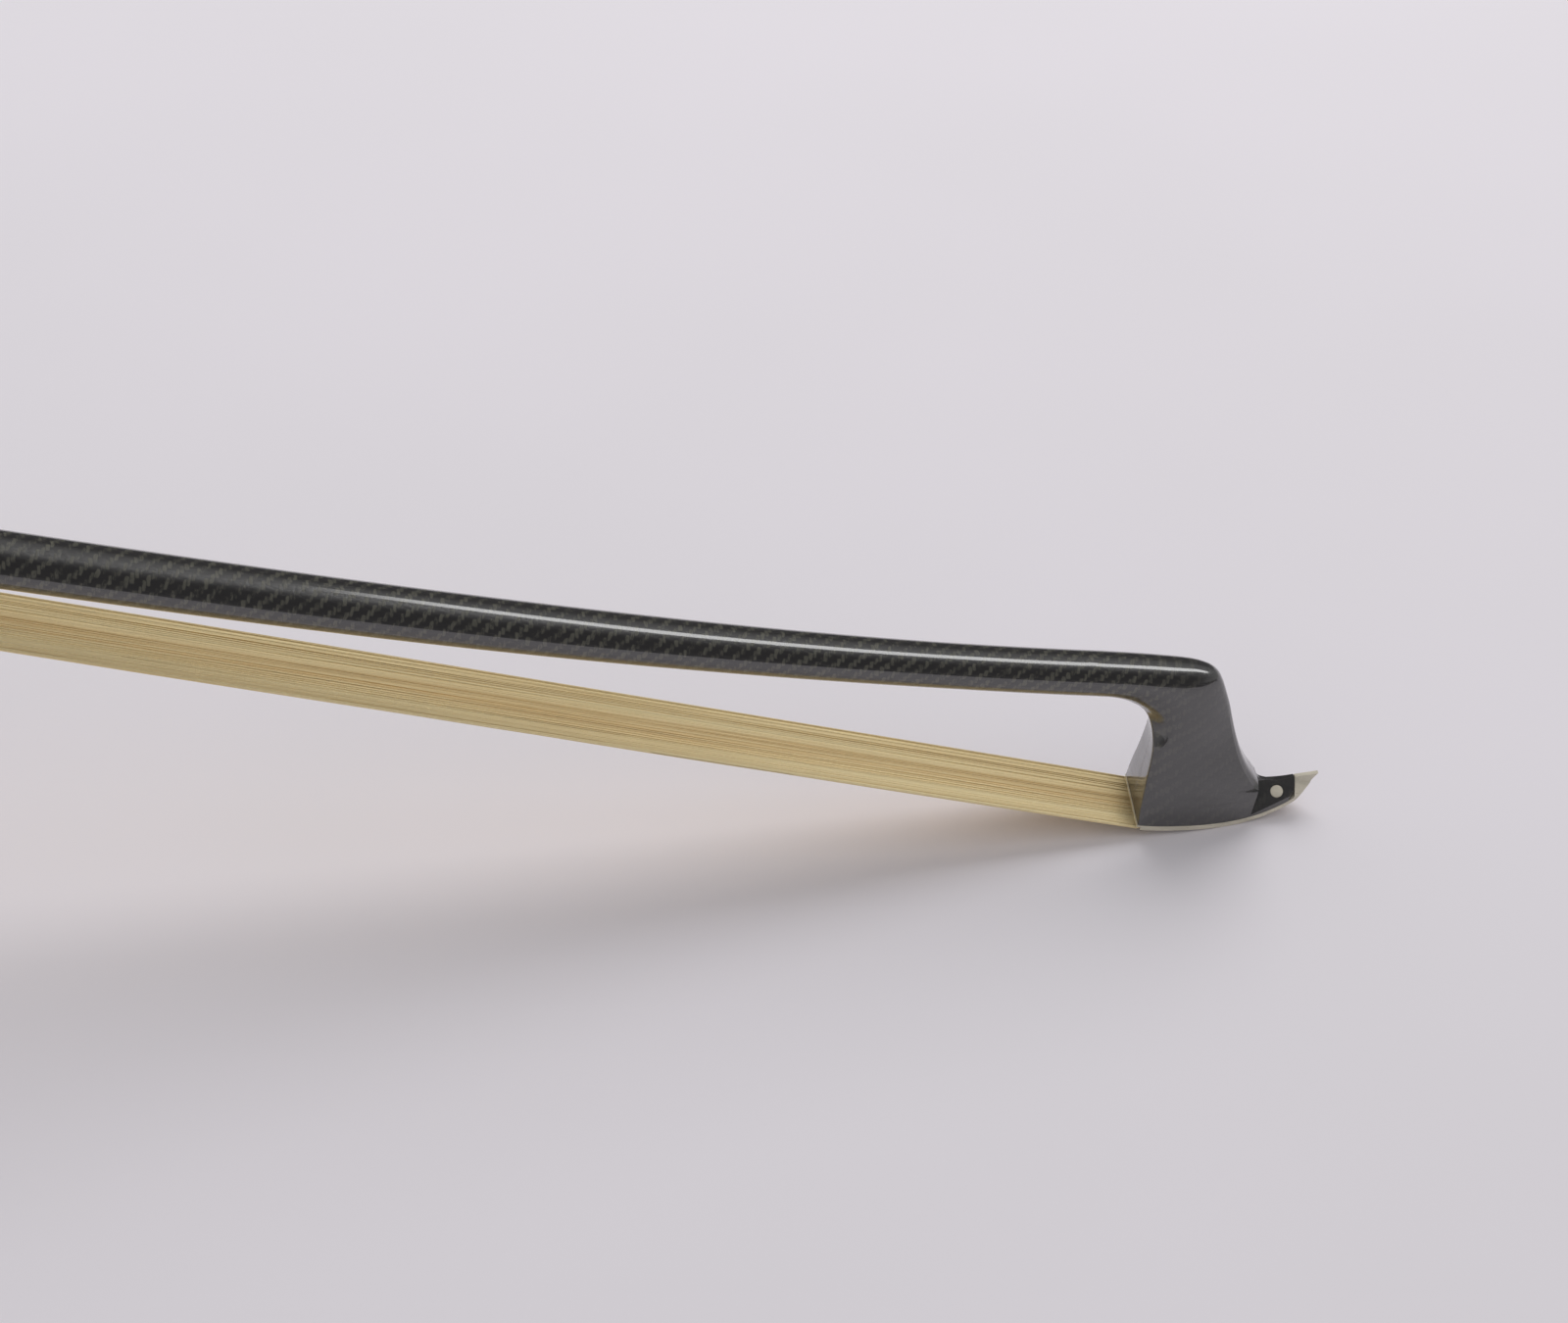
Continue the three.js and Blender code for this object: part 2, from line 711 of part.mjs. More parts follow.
// Hair is a flat ribbon that follows a path in (x, z); its halves are its half widths along the path
function ribbon(path, halves) {
  const rings = path.map(([x, z], i) => {
    const [ax, az] = path[Math.max(i - 1, 0)];
    const [bx, bz] = path[Math.min(i + 1, path.length - 1)];
    const ahead = new THREE.Vector2(bx - ax, bz - az).normalize();
    const [dx, dz] = [(-ahead.y * hairThickness) / 2, (ahead.x * hairThickness) / 2];
    return [
      new THREE.Vector3(x + dx, halves[i], z + dz),
      new THREE.Vector3(x - dx, halves[i], z - dz),
      new THREE.Vector3(x - dx, -halves[i], z - dz),
      new THREE.Vector3(x + dx, -halves[i], z + dz),
    ];
  });
  return loft(rings);
}

function tipHair() {
  const middle = (x) => soleHeight(x) - headSeat + hairThickness / 2;
  const wallX = headMortiseStart + snug + hairThickness / 2;
  const bend = hairBendShare * hairThickness;
  const path = [
    [0, middle(0)], [wallX - bend, middle(wallX)], [wallX, middle(wallX) + bend],
    [wallX, headSeat + headMortiseDepth - tipKnotHeight - slideGap],
  ];
  const narrow = hairWidthInHead / 2;
  const knotHalf = headMortiseTopWidth / 2 - slideGap;
  return ribbon(path, [hairWidthAtHead / 2, narrow, narrow, knotHalf]);
}

function knot(fromX, toX, width, fromZ, toZ) {
  const length = toX - fromX;
  const ball = new THREE.SphereGeometry(length / 2, knotSides, knotRows);
  ball.scale(1, width / length, (toZ - fromZ) / length);
  return ball.translate((fromX + toX) / 2, 0, (fromZ + toZ) / 2);
}

function tipHairKnot() {
  const top = headSeat + headMortiseDepth - slideGap;
  const fromX = headMortiseStart + slideGap;
  const toX = headMortiseStart + headMortiseTopLength - slideGap;
  return knot(fromX, toX, headMortiseTopWidth - 2 * slideGap, top - tipKnotHeight, top);
}

// The plug fills the mortise and its underside is flush with the plate's
function tipPlug() {
  const wallX = headMortiseStart + snug + hairThickness + snug;
  const topZ = headSeat + headMortiseDepth - tipKnotHeight - 2 * slideGap;
  const levels = [
    headMortiseLevel(0, glueGap, -overrun),
    headMortiseLevel(0, glueGap, headSeat),
    headMortiseLevel((topZ - headSeat) / headMortiseDepth, glueGap, topZ),
  ];
  const block = asSolid(taperedBlock(levels.map((level) => ({ ...level, fromX: wallX }))));
  const endX = headMortiseStart + headMortiseLength;
  const under = (x) => soleHeight(x) - headSeat;
  const below = polygon([
    [0, under(0)], [wallX, under(wallX)], [(wallX + endX) / 2, under((wallX + endX) / 2)],
    [endX, under(endX)], [endX, -headSeat - overrun], [0, -headSeat - overrun],
  ]);
  return asGeometry(cut(block, acrossY(below, headWidth)));
}

// The free hair has shallow ridges where its strands bunch
function hairRing(x, z, width) {
  const side = [];
  for (let i = 1; i <= 2 * hairRidges; i += 1) {
    side.push([(width * i) / (4 * hairRidges), i % 2 === 0 ? 0 : hairRidgeDepth]);
  }
  const half = [
    ...side.map(([y, dip]) => new THREE.Vector3(x, y, z + dip)),
    ...side.map(([y, dip]) => new THREE.Vector3(x, y, z + hairThickness - dip)).reverse(),
  ];
  const other = half.map((p) => new THREE.Vector3(p.x, -p.y, p.z)).reverse();
  return [new THREE.Vector3(x, 0, z), ...half, new THREE.Vector3(x, 0, z + hairThickness), ...other];
}

function hairRibbon() {
  const floor = frogPoint(0, ferruleWall + snug);
  const rings = [
    hairRing(floor.x + snug, floor.z, hairWidthAtFerrule), hairRing(-snug, 0, hairWidthAtHead),
  ];
  const count = rings[0].length;
  const triangles = [];
  ringBand(triangles, 0, count, count);
  const outline = rings[0].map((p) => new THREE.Vector2(p.y, p.z));
  for (const [a, b, c] of THREE.ShapeUtils.triangulateShape(outline, [])) {
    triangles.push([a, c, b], [count + a, count + b, count + c]);
  }
  return closedBody(rings.flat(), triangles);
}

function frogPoint(x, z) {
  return new THREE.Vector3(x, 0, z).applyMatrix4(frogMatrix);
}

// The frog is drawn over its own base, with the mouth of the ferrule at x zero

function archOutline(half, lowZ, springZ, topZ, corner) {
  const shape = new THREE.Shape();
  shape.moveTo(-(half - corner), lowZ);
  shape.lineTo(half - corner, lowZ);
  shape.quadraticCurveTo(half, lowZ, half, lowZ + corner);
  shape.lineTo(half, springZ);
  shape.absellipse(0, springZ, half, topZ - springZ, 0, Math.PI, false, 0);
  shape.lineTo(-half, lowZ + corner);
  shape.quadraticCurveTo(-half, lowZ, -(half - corner), lowZ);
  return shape;
}

function frogSection() {
  const bottom = frogBottomWidth / 2;
  const waist = frogWaistWidth / 2;
  const top = frogTopWidth / 2;
  const shape = new THREE.Shape();
  shape.moveTo(-(bottom - ferruleCorner), 0);
  shape.lineTo(bottom - ferruleCorner, 0);
  shape.quadraticCurveTo(bottom, 0, bottom, ferruleCorner);
  shape.lineTo(bottom, ferruleSpring);
  shape.bezierCurveTo(bottom, ferruleHeight, waist, ferruleHeight, waist, frogWaistRise);
  shape.bezierCurveTo(waist, frogSeat, top, frogSeat, top, railTop);
  shape.lineTo(-top, railTop);
  shape.bezierCurveTo(-top, frogSeat, -waist, frogSeat, -waist, frogWaistRise);
  shape.bezierCurveTo(-waist, ferruleHeight, -bottom, ferruleHeight, -bottom, ferruleSpring);
  shape.lineTo(-bottom, ferruleCorner);
  shape.quadraticCurveTo(-bottom, 0, -(bottom - ferruleCorner), 0);
  return shape;
}

function frogProfile() {
  const shape = new THREE.Shape();
  shape.moveTo(-frogLength, 0);
  shape.lineTo(-ferruleLength - snug, 0);
  shape.lineTo(-ferruleLength - snug, ferruleHeight);
  shape.bezierCurveTo(
    -ferruleLength - throatDepth, ferruleHeight,
    -thumbReach - throatDepth, railTop - thumbNoseHeight - throatDepth,
    -thumbReach - thumbNoseHeight / 2, railTop - thumbNoseHeight,
  );
  shape.quadraticCurveTo(-thumbReach, railTop - thumbNoseHeight, -thumbReach, railTop);
  shape.lineTo(-frogLength, railTop);
  return shape;
}

function heelOutline(grow) {
  return polygon([
    [-frogLength - grow, -grow], [-frogLength + heelSoleLength + grow, -grow],
    [-frogLength + heelSoleLength + grow, heelThickness + grow],
    [-frogLength + heelThickness + grow, heelThickness + grow],
    [-frogLength + heelThickness + grow, heelBackHeight + grow], [-frogLength - grow, heelBackHeight + grow],
  ]);
}

function slideOutline(grow, fromZ, toZ) {
  const half = (z) => slideWidth / 2 + (slideFlare * z) / slideHeight + grow;
  return polygon([
    [-half(fromZ), fromZ], [half(fromZ), fromZ], [half(toZ), toZ], [-half(toZ), toZ],
  ]);
}

function frogChannel(apothem) {
  const shape = polygon(octagonPoints(apothem));
  return alongX(shape, -frogLength - overrun, overrun).translate(0, 0, frogDrop);
}

function mortiseRear() {
  return -frogMortiseReach - frogMortiseLength;
}

function heelPinPlaces() {
  return { baseX: -frogLength + heelPinInset, rearZ: heelPinRise };
}

function undersidePinPlaces() {
  return { front: -thumbReach - undersidePinInset, rear: -frogLength + undersidePinInset };
}

function eyeRing(grow, side) {
  const fromY = side > 0 ? frogWaistWidth / 2 - eyeRingDepth - grow : -frogBottomWidth;
  const toY = side > 0 ? frogBottomWidth : -(frogWaistWidth / 2 - eyeRingDepth - grow);
  const outer = asSolid(rodAcrossY(eyeRingRadius + grow, fromY, toY, -eyeReach, eyeRise));
  const inner = rodAcrossY(
    eyeRingRadius - eyeRingWidth - grow, fromY - overrun, toY + overrun, -eyeReach, eyeRise,
  );
  return cut(outer, inner);
}

function eyePearl(grow, side) {
  const depth = eyeDepth + grow;
  const fromY = side > 0 ? frogWaistWidth / 2 - depth : -frogBottomWidth;
  const toY = side > 0 ? frogBottomWidth : -(frogWaistWidth / 2 - depth);
  return asSolid(rodAcrossY(eyeRadius + grow, fromY, toY, -eyeReach, eyeRise));
}

function frogBody() {
  const heelPins = heelPinPlaces();
  const underside = undersidePinPlaces();
  const section = alongX(frogSection(), -frogLength, 0);
  const tongue = alongX(
    archOutline(
      frogBottomWidth / 2 - ferruleWall - glueGap, tongueFloor, ferruleSpring,
      ferruleHeight - ferruleWall - glueGap, snug,
    ),
    -ferruleLength - overrun, -tongueEndReach,
  );
  const block = asSolid(acrossY(frogProfile(), frogBottomWidth + overrun)).intersect(asSolid(section));
  const slideRear = -frogLength + heelSoleLength;
  const trimmed = cut(
    block.add(asSolid(tongue)),
    frogChannel(frogDrop - frogSeat),
    acrossY(heelOutline(glueGap), frogBottomWidth + 2 * overrun),
    alongX(slideOutline(glueGap, -overrun, slideHeight + glueGap), slideRear, overrun),
    box(-frogMortiseReach, overrun, channelWidth, slideHeight + glueGap, tongueFloor),
    box(mortiseRear(), -frogMortiseReach, frogMortiseWidth, 0, frogMortiseDepth),
    rodUp(heelPinRadius + snug, 0, heelPinLength + overrun, heelPins.baseX),
    rodAlongX(
      heelPinRadius + snug, -frogLength - overrun, -frogLength + heelPinLength + overrun, heelPins.rearZ,
    ),
    rodUp(eyeletShankRadius + snug, frogSeat - eyeletShankLength - overrun, railTop, -eyeletReach),
    rodUp(undersidePinRadius + snug, undersideTop - undersidePinLength - overrun, railTop, underside.front),
    rodUp(undersidePinRadius + snug, undersideTop - undersidePinLength - overrun, railTop, underside.rear),
  );
  return asGeometry([1, -1].reduce(
    (rest, side) => rest.subtract(eyeRing(snug, side)).subtract(eyePearl(snug, side)), trimmed,
  ));
}

function ferrule() {
  const half = frogBottomWidth / 2;
  const outer = archOutline(half, 0, ferruleSpring, ferruleHeight, ferruleCorner);
  outer.holes.push(archOutline(
    half - ferruleWall, ferruleWall, ferruleSpring, ferruleHeight - ferruleWall, ferruleCorner - ferruleWall,
  ));
  return alongX(outer, -ferruleLength, 0);
}

function hairFloor() {
  return ferruleWall + snug + hairThickness / 2;
}

function frogHair() {
  const wallX = -frogMortiseReach - snug - hairThickness / 2;
  const low = hairFloor();
  const high = slideHeight + 2 * snug + hairThickness / 2;
  const bend = hairThickness;
  const path = [
    [wallX, frogMortiseDepth - frogKnotHeight - slideGap], [wallX, high + bend],
    [wallX + bend / 2, high + bend / 3], [wallX + 2 * bend, high], [-ferruleLength - snug, high],
    [-ferruleLength + 2 * bend, low + bend], [-wedgeLength, low], [-snug, low],
  ];
  const narrow = hairWidthInFrog / 2;
  const wide = hairWidthAtFerrule / 2;
  return ribbon(path, [narrow, narrow, narrow, narrow, wide, wide, wide, wide]);
}

function frogHairKnot() {
  const top = frogMortiseDepth - slideGap;
  return knot(
    mortiseRear() + slideGap, -frogMortiseReach - slideGap, frogMortiseWidth - 2 * slideGap,
    top - frogKnotHeight, top,
  );
}

function frogPlug() {
  const lowZ = slideHeight + 2 * glueGap;
  const highZ = frogMortiseDepth - frogKnotHeight - 2 * slideGap;
  const frontX = -frogMortiseReach - 2 * snug - hairThickness;
  return box(mortiseRear() + glueGap, frontX, frogMortiseWidth - 2 * glueGap, lowZ, highZ);
}

function spreadWedge() {
  const lowZ = hairFloor() + hairThickness / 2 + snug;
  return box(-wedgeLength + hairThickness, -tongueEndReach, wedgeWidth, lowZ, tongueFloor - glueGap);
}

function slide() {
  const fromX = -frogLength + heelSoleLength + slideGap;
  return alongX(slideOutline(0, pearlThickness + snug, slideHeight), fromX, -ferruleLength - slideGap);
}

function slidePearl() {
  const fromX = -frogLength + heelSoleLength + slideGap;
  return alongX(slideOutline(0, 0, pearlThickness), fromX, -ferruleLength - slideGap);
}

function heelPlate() {
  const places = heelPinPlaces();
  const bent = asSolid(acrossY(heelOutline(0), frogBottomWidth + overrun));
  const section = asSolid(alongX(frogSection(), -frogLength - overrun, 0));
  return asGeometry(cut(
    bent.intersect(section),
    rodUp(heelPinRadius + snug, -overrun, heelThickness + overrun, places.baseX),
    rodAlongX(
      heelPinRadius + snug, -frogLength - overrun, -frogLength + heelThickness + overrun, places.rearZ,
    ),
  ));
}

function underslide() {
  const outer = frogDrop - undersideTop + undersideThickness;
  const inner = frogDrop - undersideTop;
  const depth = handleApothem * flatShare + railRise;
  const reach = (apothem) => apothem * Math.SQRT2 - depth;
  const lowest = (apothem) => frogDrop - apothem;
  const edge = frogDrop - depth;
  const shape = polygon([
    [-reach(outer), edge], [-outer * flatShare, lowest(outer)], [outer * flatShare, lowest(outer)],
    [reach(outer), edge], [reach(inner), edge], [inner * flatShare, lowest(inner)],
    [-inner * flatShare, lowest(inner)], [-reach(inner), edge],
  ]);
  const places = undersidePinPlaces();
  const strip = asSolid(alongX(shape, -frogLength + undersideEndInset, -thumbReach - undersideEndInset));
  const hole = (radius, x) => rodUp(radius + snug, frogSeat - overrun, undersideTop + overrun, x);
  return asGeometry(cut(
    strip, hole(eyeletShankRadius, -eyeletReach), hole(undersidePinRadius, places.front),
    hole(undersidePinRadius, places.rear),
  ));
}

function undersidePin(x) {
  return rodUp(undersidePinRadius, undersideTop - undersidePinLength, undersideTop, x);
}

function eyelet() {
  const block = box(
    -eyeletReach - eyeletLength / 2, -eyeletReach + eyeletLength / 2, eyeletWidth,
    frogDrop - handleApothem, frogDrop + eyeletHeight / 2,
  );
  const shank = rodUp(
    eyeletShankRadius, frogSeat - eyeletShankLength, frogDrop - handleApothem + overrun, -eyeletReach,
  );
  const bore = rodAlongX(
    screwRadius + screwGap, -eyeletReach - eyeletLength, -eyeletReach + eyeletLength, frogDrop,
  );
  return asGeometry(cut(joined(block, shank), bore));
}

// The screw and the button turn together

function adjusterScrew() {
  const tail = buttonFrontX - screwTailDepth;
  const points = [
    [0, tail], [screwRadius, tail], [screwRadius, -screwFrontReach - screwRadius],
    [screwRadius / 2, -screwFrontReach], [0, -screwFrontReach],
  ];
  const profile = points.map(([r, x]) => new THREE.Vector2(r, x));
  return new THREE.LatheGeometry(profile, pinSides).rotateZ(-Math.PI / 2);
}

function octagonBlock(across, fromX, toX, edge) {
  const half = across / 2;
  const ring = (x, apothem) => octagonPoints(apothem).map(([y, z]) => new THREE.Vector3(x, y, z));
  return loft([
    ring(fromX, half - edge), ring(fromX + edge, half), ring(toX - edge, half), ring(toX, half - edge),
  ]);
}

function buttonFrontRing() {
  const fromX = buttonFrontX - buttonRingLength;
  const ring = asSolid(octagonBlock(buttonAcross, fromX, buttonFrontX, buttonEdge));
  const bore = rodAlongX(nippleRadius + slideGap, fromX - overrun, buttonFrontX + overrun, 0);
  return asGeometry(cut(ring, bore));
}

function buttonRearRing() {
  const toX = buttonRearX + buttonRingLength;
  const ring = asSolid(octagonBlock(buttonAcross, buttonRearX, toX, buttonEdge));
  const bore = rodAlongX(buttonNeckRadius + glueGap, buttonRearX - overrun, toX + overrun, 0);
  return asGeometry(cut(ring, bore));
}

function buttonCore() {
  const frontX = buttonFrontX - buttonRingLength - glueGap;
  const rearX = buttonRearX + buttonRingLength + glueGap;
  const body = octagonBlock(buttonAcross - 2 * buttonRecess, rearX, frontX, buttonRecess);
  const neck = rodAlongX(buttonNeckRadius, buttonRearX + buttonRecess, rearX + overrun, 0);
  return asGeometry(cut(
    joined(body, neck),
    rodAlongX(screwRadius + snug, buttonFrontX - screwTailDepth - glueGap, frontX + overrun, 0),
    rodAlongX(
      buttonPearlRadius + snug, buttonRearX - overrun, buttonRearX + buttonRecess + buttonPearlThickness, 0,
    ),
  ));
}

function buttonPearl() {
  const fromX = buttonRearX + buttonRecess;
  return rodAlongX(buttonPearlRadius, fromX, fromX + buttonPearlThickness - glueGap, 0);
}

// The grip is laid along the stick's own axis

function gripPlaces() {
  const leatherRear = handlePlace(-thumbReach + loosenTravel + leatherEase).x;
  const leatherFront = leatherRear + leatherLength;
  const windingStart = leatherFront + slideGap;
  const lead = windingTurnLength + windingStripWidth;
  const windingEnd = windingStart + 2 * lead + windingLoops * windingPitch;
  return { leatherRear, leatherFront, windingStart, windingEnd, lead };
}

function stickSleeve(fromX, toX, thicknesses) {
  const stations = thicknesses.map(([share, thick]) => [THREE.MathUtils.lerp(fromX, toX, share), thick]);
  const roundRing = (x, radius) => sectionAngles().map((angle) => onStick(x, angle, radius));
  const outer = stations.map(([x, thick]) => roundRing(x, coverRadius(x) + thick));
  const inner = [toX, fromX].map((x) => stickRing(x, snug));
  return sleeve([...outer, ...inner]);
}

// The least radius of a round cover that clears the stick's corners
function coverRadius(x) {
  return stickRadius(x, eighthTurn / 2) + snug;
}

function thumbLeather() {
  const { leatherRear, leatherFront } = gripPlaces();
  return stickSleeve(leatherRear, leatherFront, leatherShares.map(([along, rear, front]) => [
    along, rear * leatherRearThickness + front * leatherFrontThickness,
  ]));
}

function windingCollar() {
  const fromX = gripPlaces().windingEnd + slideGap;
  return stickSleeve(fromX, fromX + collarLength, collarShares.map(([along, share]) => [
    along, share * collarThickness,
  ]));
}

// The winding is one flat strip. It leaves each end straight along the stick, turns round onto the coil and
// winds with a steady pitch. Its path is laid out flat, as a place along the stick and an angle round it.
function windingPath() {
  const { windingStart, lead } = gripPlaces();
  const coilRadius = coverRadius(windingStart) + windingStripThickness / 2;
  const turnAngle = windingTurnLength / coilRadius;
  const steps = windingLoops * stepsPerLoop;
  const coilStart = windingStart + lead;
  const slant = Math.atan(windingPitch / (2 * Math.PI * coilRadius));
  const turned = Math.PI / 2 - slant;
  const endTurn = (share) => {
    const heading = turned * share;
    return {
      along: windingTurnLength * (Math.sin(heading) / Math.sin(turned)),
      round: turnAngle * ((1 - Math.cos(heading)) / (1 - Math.cos(turned))),
    };
  };
  const path = [[windingStart, 0], [windingStart + windingStripWidth, 0]];
  for (let i = 1; i < stripTurnSteps; i += 1) {
    const { along, round } = endTurn(i / stripTurnSteps);
    path.push([windingStart + windingStripWidth + along, round]);
  }
  for (let i = 0; i <= steps; i += 1) {
    const share = i / steps;
    path.push([
      coilStart + windingLoops * windingPitch * share, turnAngle + 2 * Math.PI * windingLoops * share,
    ]);
  }
  const lastX = coilStart + windingLoops * windingPitch;
  const lastAngle = turnAngle + 2 * Math.PI * windingLoops;
  for (let i = stripTurnSteps - 1; i > 0; i -= 1) {
    const { along, round } = endTurn(i / stripTurnSteps);
    path.push([lastX + windingTurnLength - along, lastAngle + turnAngle - round]);
  }
  path.push([lastX + windingTurnLength, lastAngle + turnAngle]);
  path.push([lastX + lead, lastAngle + turnAngle]);
  return path;
}

function windingStrip() {
  const path = windingPath();
  const places = path.map(([x, angle]) => onStick(x, angle, coverRadius(x) + windingStripThickness / 2));
  const rings = places.map((place, i) => {
    const [x, angle] = path[i];
    const away = place.clone().sub(stickFrame(x).centre).normalize();
    const last = places.length - 1;
    const ahead = places[Math.min(i + 1, last)].clone().sub(places[Math.max(i - 1, 0)]).normalize();
    const wide = new THREE.Vector3().crossVectors(away, ahead).normalize();
    return Array.from({ length: stripSides }, (_, k) => {
      const turn = ((k + 1 / 2) * 2 * Math.PI) / stripSides;
      const reach = windingStripWidth / 2 / Math.cos(Math.PI / stripSides);
      return place.clone()
        .addScaledVector(wide, reach * Math.cos(turn))
        .addScaledVector(away, (windingStripThickness / 2) * Math.sin(turn));
    });
  });
  reportWindingGap(rings);
  return loft(rings);
}

// The least distance between the strip and its next loop, taken between their points
function reportWindingGap(rings) {
  let least = Infinity;
  for (let i = 0; i < rings.length; i += 1) {
    for (let j = i + stepsPerLoop / 2; j < Math.min(rings.length, i + 2 * stepsPerLoop); j += 1) {
      for (const a of rings[i]) {
        for (const b of rings[j]) {
          least = Math.min(least, a.distanceTo(b));
        }
      }
    }
  }
  console.log(`winding: least gap between its loops ${least.toFixed(2)} mm`);
}

// Assembly

const bow = new THREE.Group();
const handleGroup = new THREE.Group();
handleGroup.position.set(mouthX, 0, mouthHeight);
handleGroup.rotation.y = handlePitch;
const frogGroup = new THREE.Group();
frogGroup.position.z = -frogDrop;
handleGroup.add(frogGroup);

bow.add(
  named('stick', stick(), finishes.carbon),
  named('tip_plate', tipPlate(), finishes.bone),
  named('nose_pin_left', nosePin(1), finishes.bone),
  named('nose_pin_right', nosePin(-1), finishes.bone),
  named('tip_hair', tipHair(), finishes.hair),
  named('tip_hair_knot', tipHairKnot(), finishes.hair),
  named('tip_plug', tipPlug(), finishes.boxwood),
  named('hair_ribbon', hairRibbon(), finishes.hair),
  named('thumb_leather', thumbLeather(), finishes.leather),
  named('grip_winding', windingStrip(), finishes.strip),
  named('winding_collar', windingCollar(), finishes.leather),
);

const undersidePins = undersidePinPlaces();
const heelPins = heelPinPlaces();
frogGroup.add(
  named('frog_body', frogBody(), finishes.ebony),
  named('ferrule', ferrule(), finishes.nickelSilver),
  named('spread_wedge', spreadWedge(), finishes.boxwood),
  named('frog_hair', frogHair(), finishes.hair),
  named('frog_hair_knot', frogHairKnot(), finishes.hair),
  named('frog_plug', frogPlug(), finishes.boxwood),
  named('slide', slide(), finishes.ebony),
  named('slide_pearl', slidePearl(), finishes.pearl),
  named('heel_plate', heelPlate(), finishes.nickelSilver),
  named('heel_pin_base', rodUp(heelPinRadius, 0, heelPinLength, heelPins.baseX), finishes.nickelSilver),
  named(
    'heel_pin_rear',
    rodAlongX(heelPinRadius, -frogLength, -frogLength + heelPinLength, heelPins.rearZ),
    finishes.nickelSilver,
  ),
  named('underslide', underslide(), finishes.nickelSilver),
  named('underslide_pin_front', undersidePin(undersidePins.front), finishes.nickelSilver),
  named('underslide_pin_rear', undersidePin(undersidePins.rear), finishes.nickelSilver),
  named('eyelet', eyelet(), finishes.brass),
);
for (const [name, side] of [['left', 1], ['right', -1]]) {
  const section = asSolid(alongX(frogSection(), -frogLength, 0));
  frogGroup.add(
    named(`pearl_eye_${name}`, asGeometry(eyePearl(0, side).intersect(section)), finishes.pearl),
    named(`eye_ring_${name}`, asGeometry(eyeRing(0, side).intersect(section)), finishes.nickelSilver),
  );
}

handleGroup.add(
  named('adjuster_screw', adjusterScrew(), finishes.steel),
  named('button_front_ring', buttonFrontRing(), finishes.nickelSilver),
  named('button_core', buttonCore(), finishes.ebony),
  named('button_rear_ring', buttonRearRing(), finishes.nickelSilver),
  named('button_pearl', buttonPearl(), finishes.pearl),
);

bow.add(handleGroup);
const rearmostX = handlePlace(buttonRearX, -buttonAcross / 2).x;
bow.position.x = -(rearmostX + beakReach) / 2;

export default bow;
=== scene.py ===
"""Looks of the cello bow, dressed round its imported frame.

Lengths in the code are millimetres, and every point is laid out as in the frame: x runs along
the bow towards its tip, z rises from the underside of the hair, and y goes across. Meshes are
written in metres.
"""

import logging
import math
from collections.abc import Callable, Iterable, Sequence
from dataclasses import dataclass
from enum import Enum

import bmesh
import bpy
import numpy as np
from mathutils import Matrix, Vector


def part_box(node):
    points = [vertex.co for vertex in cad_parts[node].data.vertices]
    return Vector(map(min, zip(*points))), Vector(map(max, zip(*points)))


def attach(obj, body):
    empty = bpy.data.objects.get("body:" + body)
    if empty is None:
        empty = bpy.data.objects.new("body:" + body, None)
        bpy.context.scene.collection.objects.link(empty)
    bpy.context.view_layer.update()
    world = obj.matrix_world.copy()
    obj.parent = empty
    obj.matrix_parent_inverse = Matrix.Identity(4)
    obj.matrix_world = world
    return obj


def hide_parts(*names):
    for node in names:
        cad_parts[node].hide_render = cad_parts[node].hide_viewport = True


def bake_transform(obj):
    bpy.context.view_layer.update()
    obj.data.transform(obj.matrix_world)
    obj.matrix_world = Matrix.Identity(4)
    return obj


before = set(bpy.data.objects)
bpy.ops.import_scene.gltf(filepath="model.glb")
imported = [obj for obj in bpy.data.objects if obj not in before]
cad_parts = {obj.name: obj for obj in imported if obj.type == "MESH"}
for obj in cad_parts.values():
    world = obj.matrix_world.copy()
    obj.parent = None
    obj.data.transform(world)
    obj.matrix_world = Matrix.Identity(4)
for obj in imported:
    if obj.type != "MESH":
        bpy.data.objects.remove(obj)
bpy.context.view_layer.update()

log = logging.getLogger("cello_bow")

MM = 0.001
TAU = 2 * math.pi
WELD_REACH = 1e-6
EDGE_ANGLE = math.radians(35.0)

Point = Sequence[float]
Span = tuple[float, float]
Triple = tuple[float, float, float]
Socket = bpy.types.NodeSocket
Thing = bpy.types.Object


# Numbers


def lerp(low: float, high: float, share: float) -> float:
    """Goes from low to high as share goes from 0 to 1."""
    return low + (high - low) * share


def clamp(value: float, low: float = 0.0, high: float = 1.0) -> float:
    """Keeps a value between two others."""
    return max(low, min(high, value))


def smoothstep(value: float, low: float, high: float) -> float:
    """Rises smoothly from 0 at low to 1 at high."""
    share = clamp((value - low) / (high - low))
    return share * share * (3 - 2 * share)


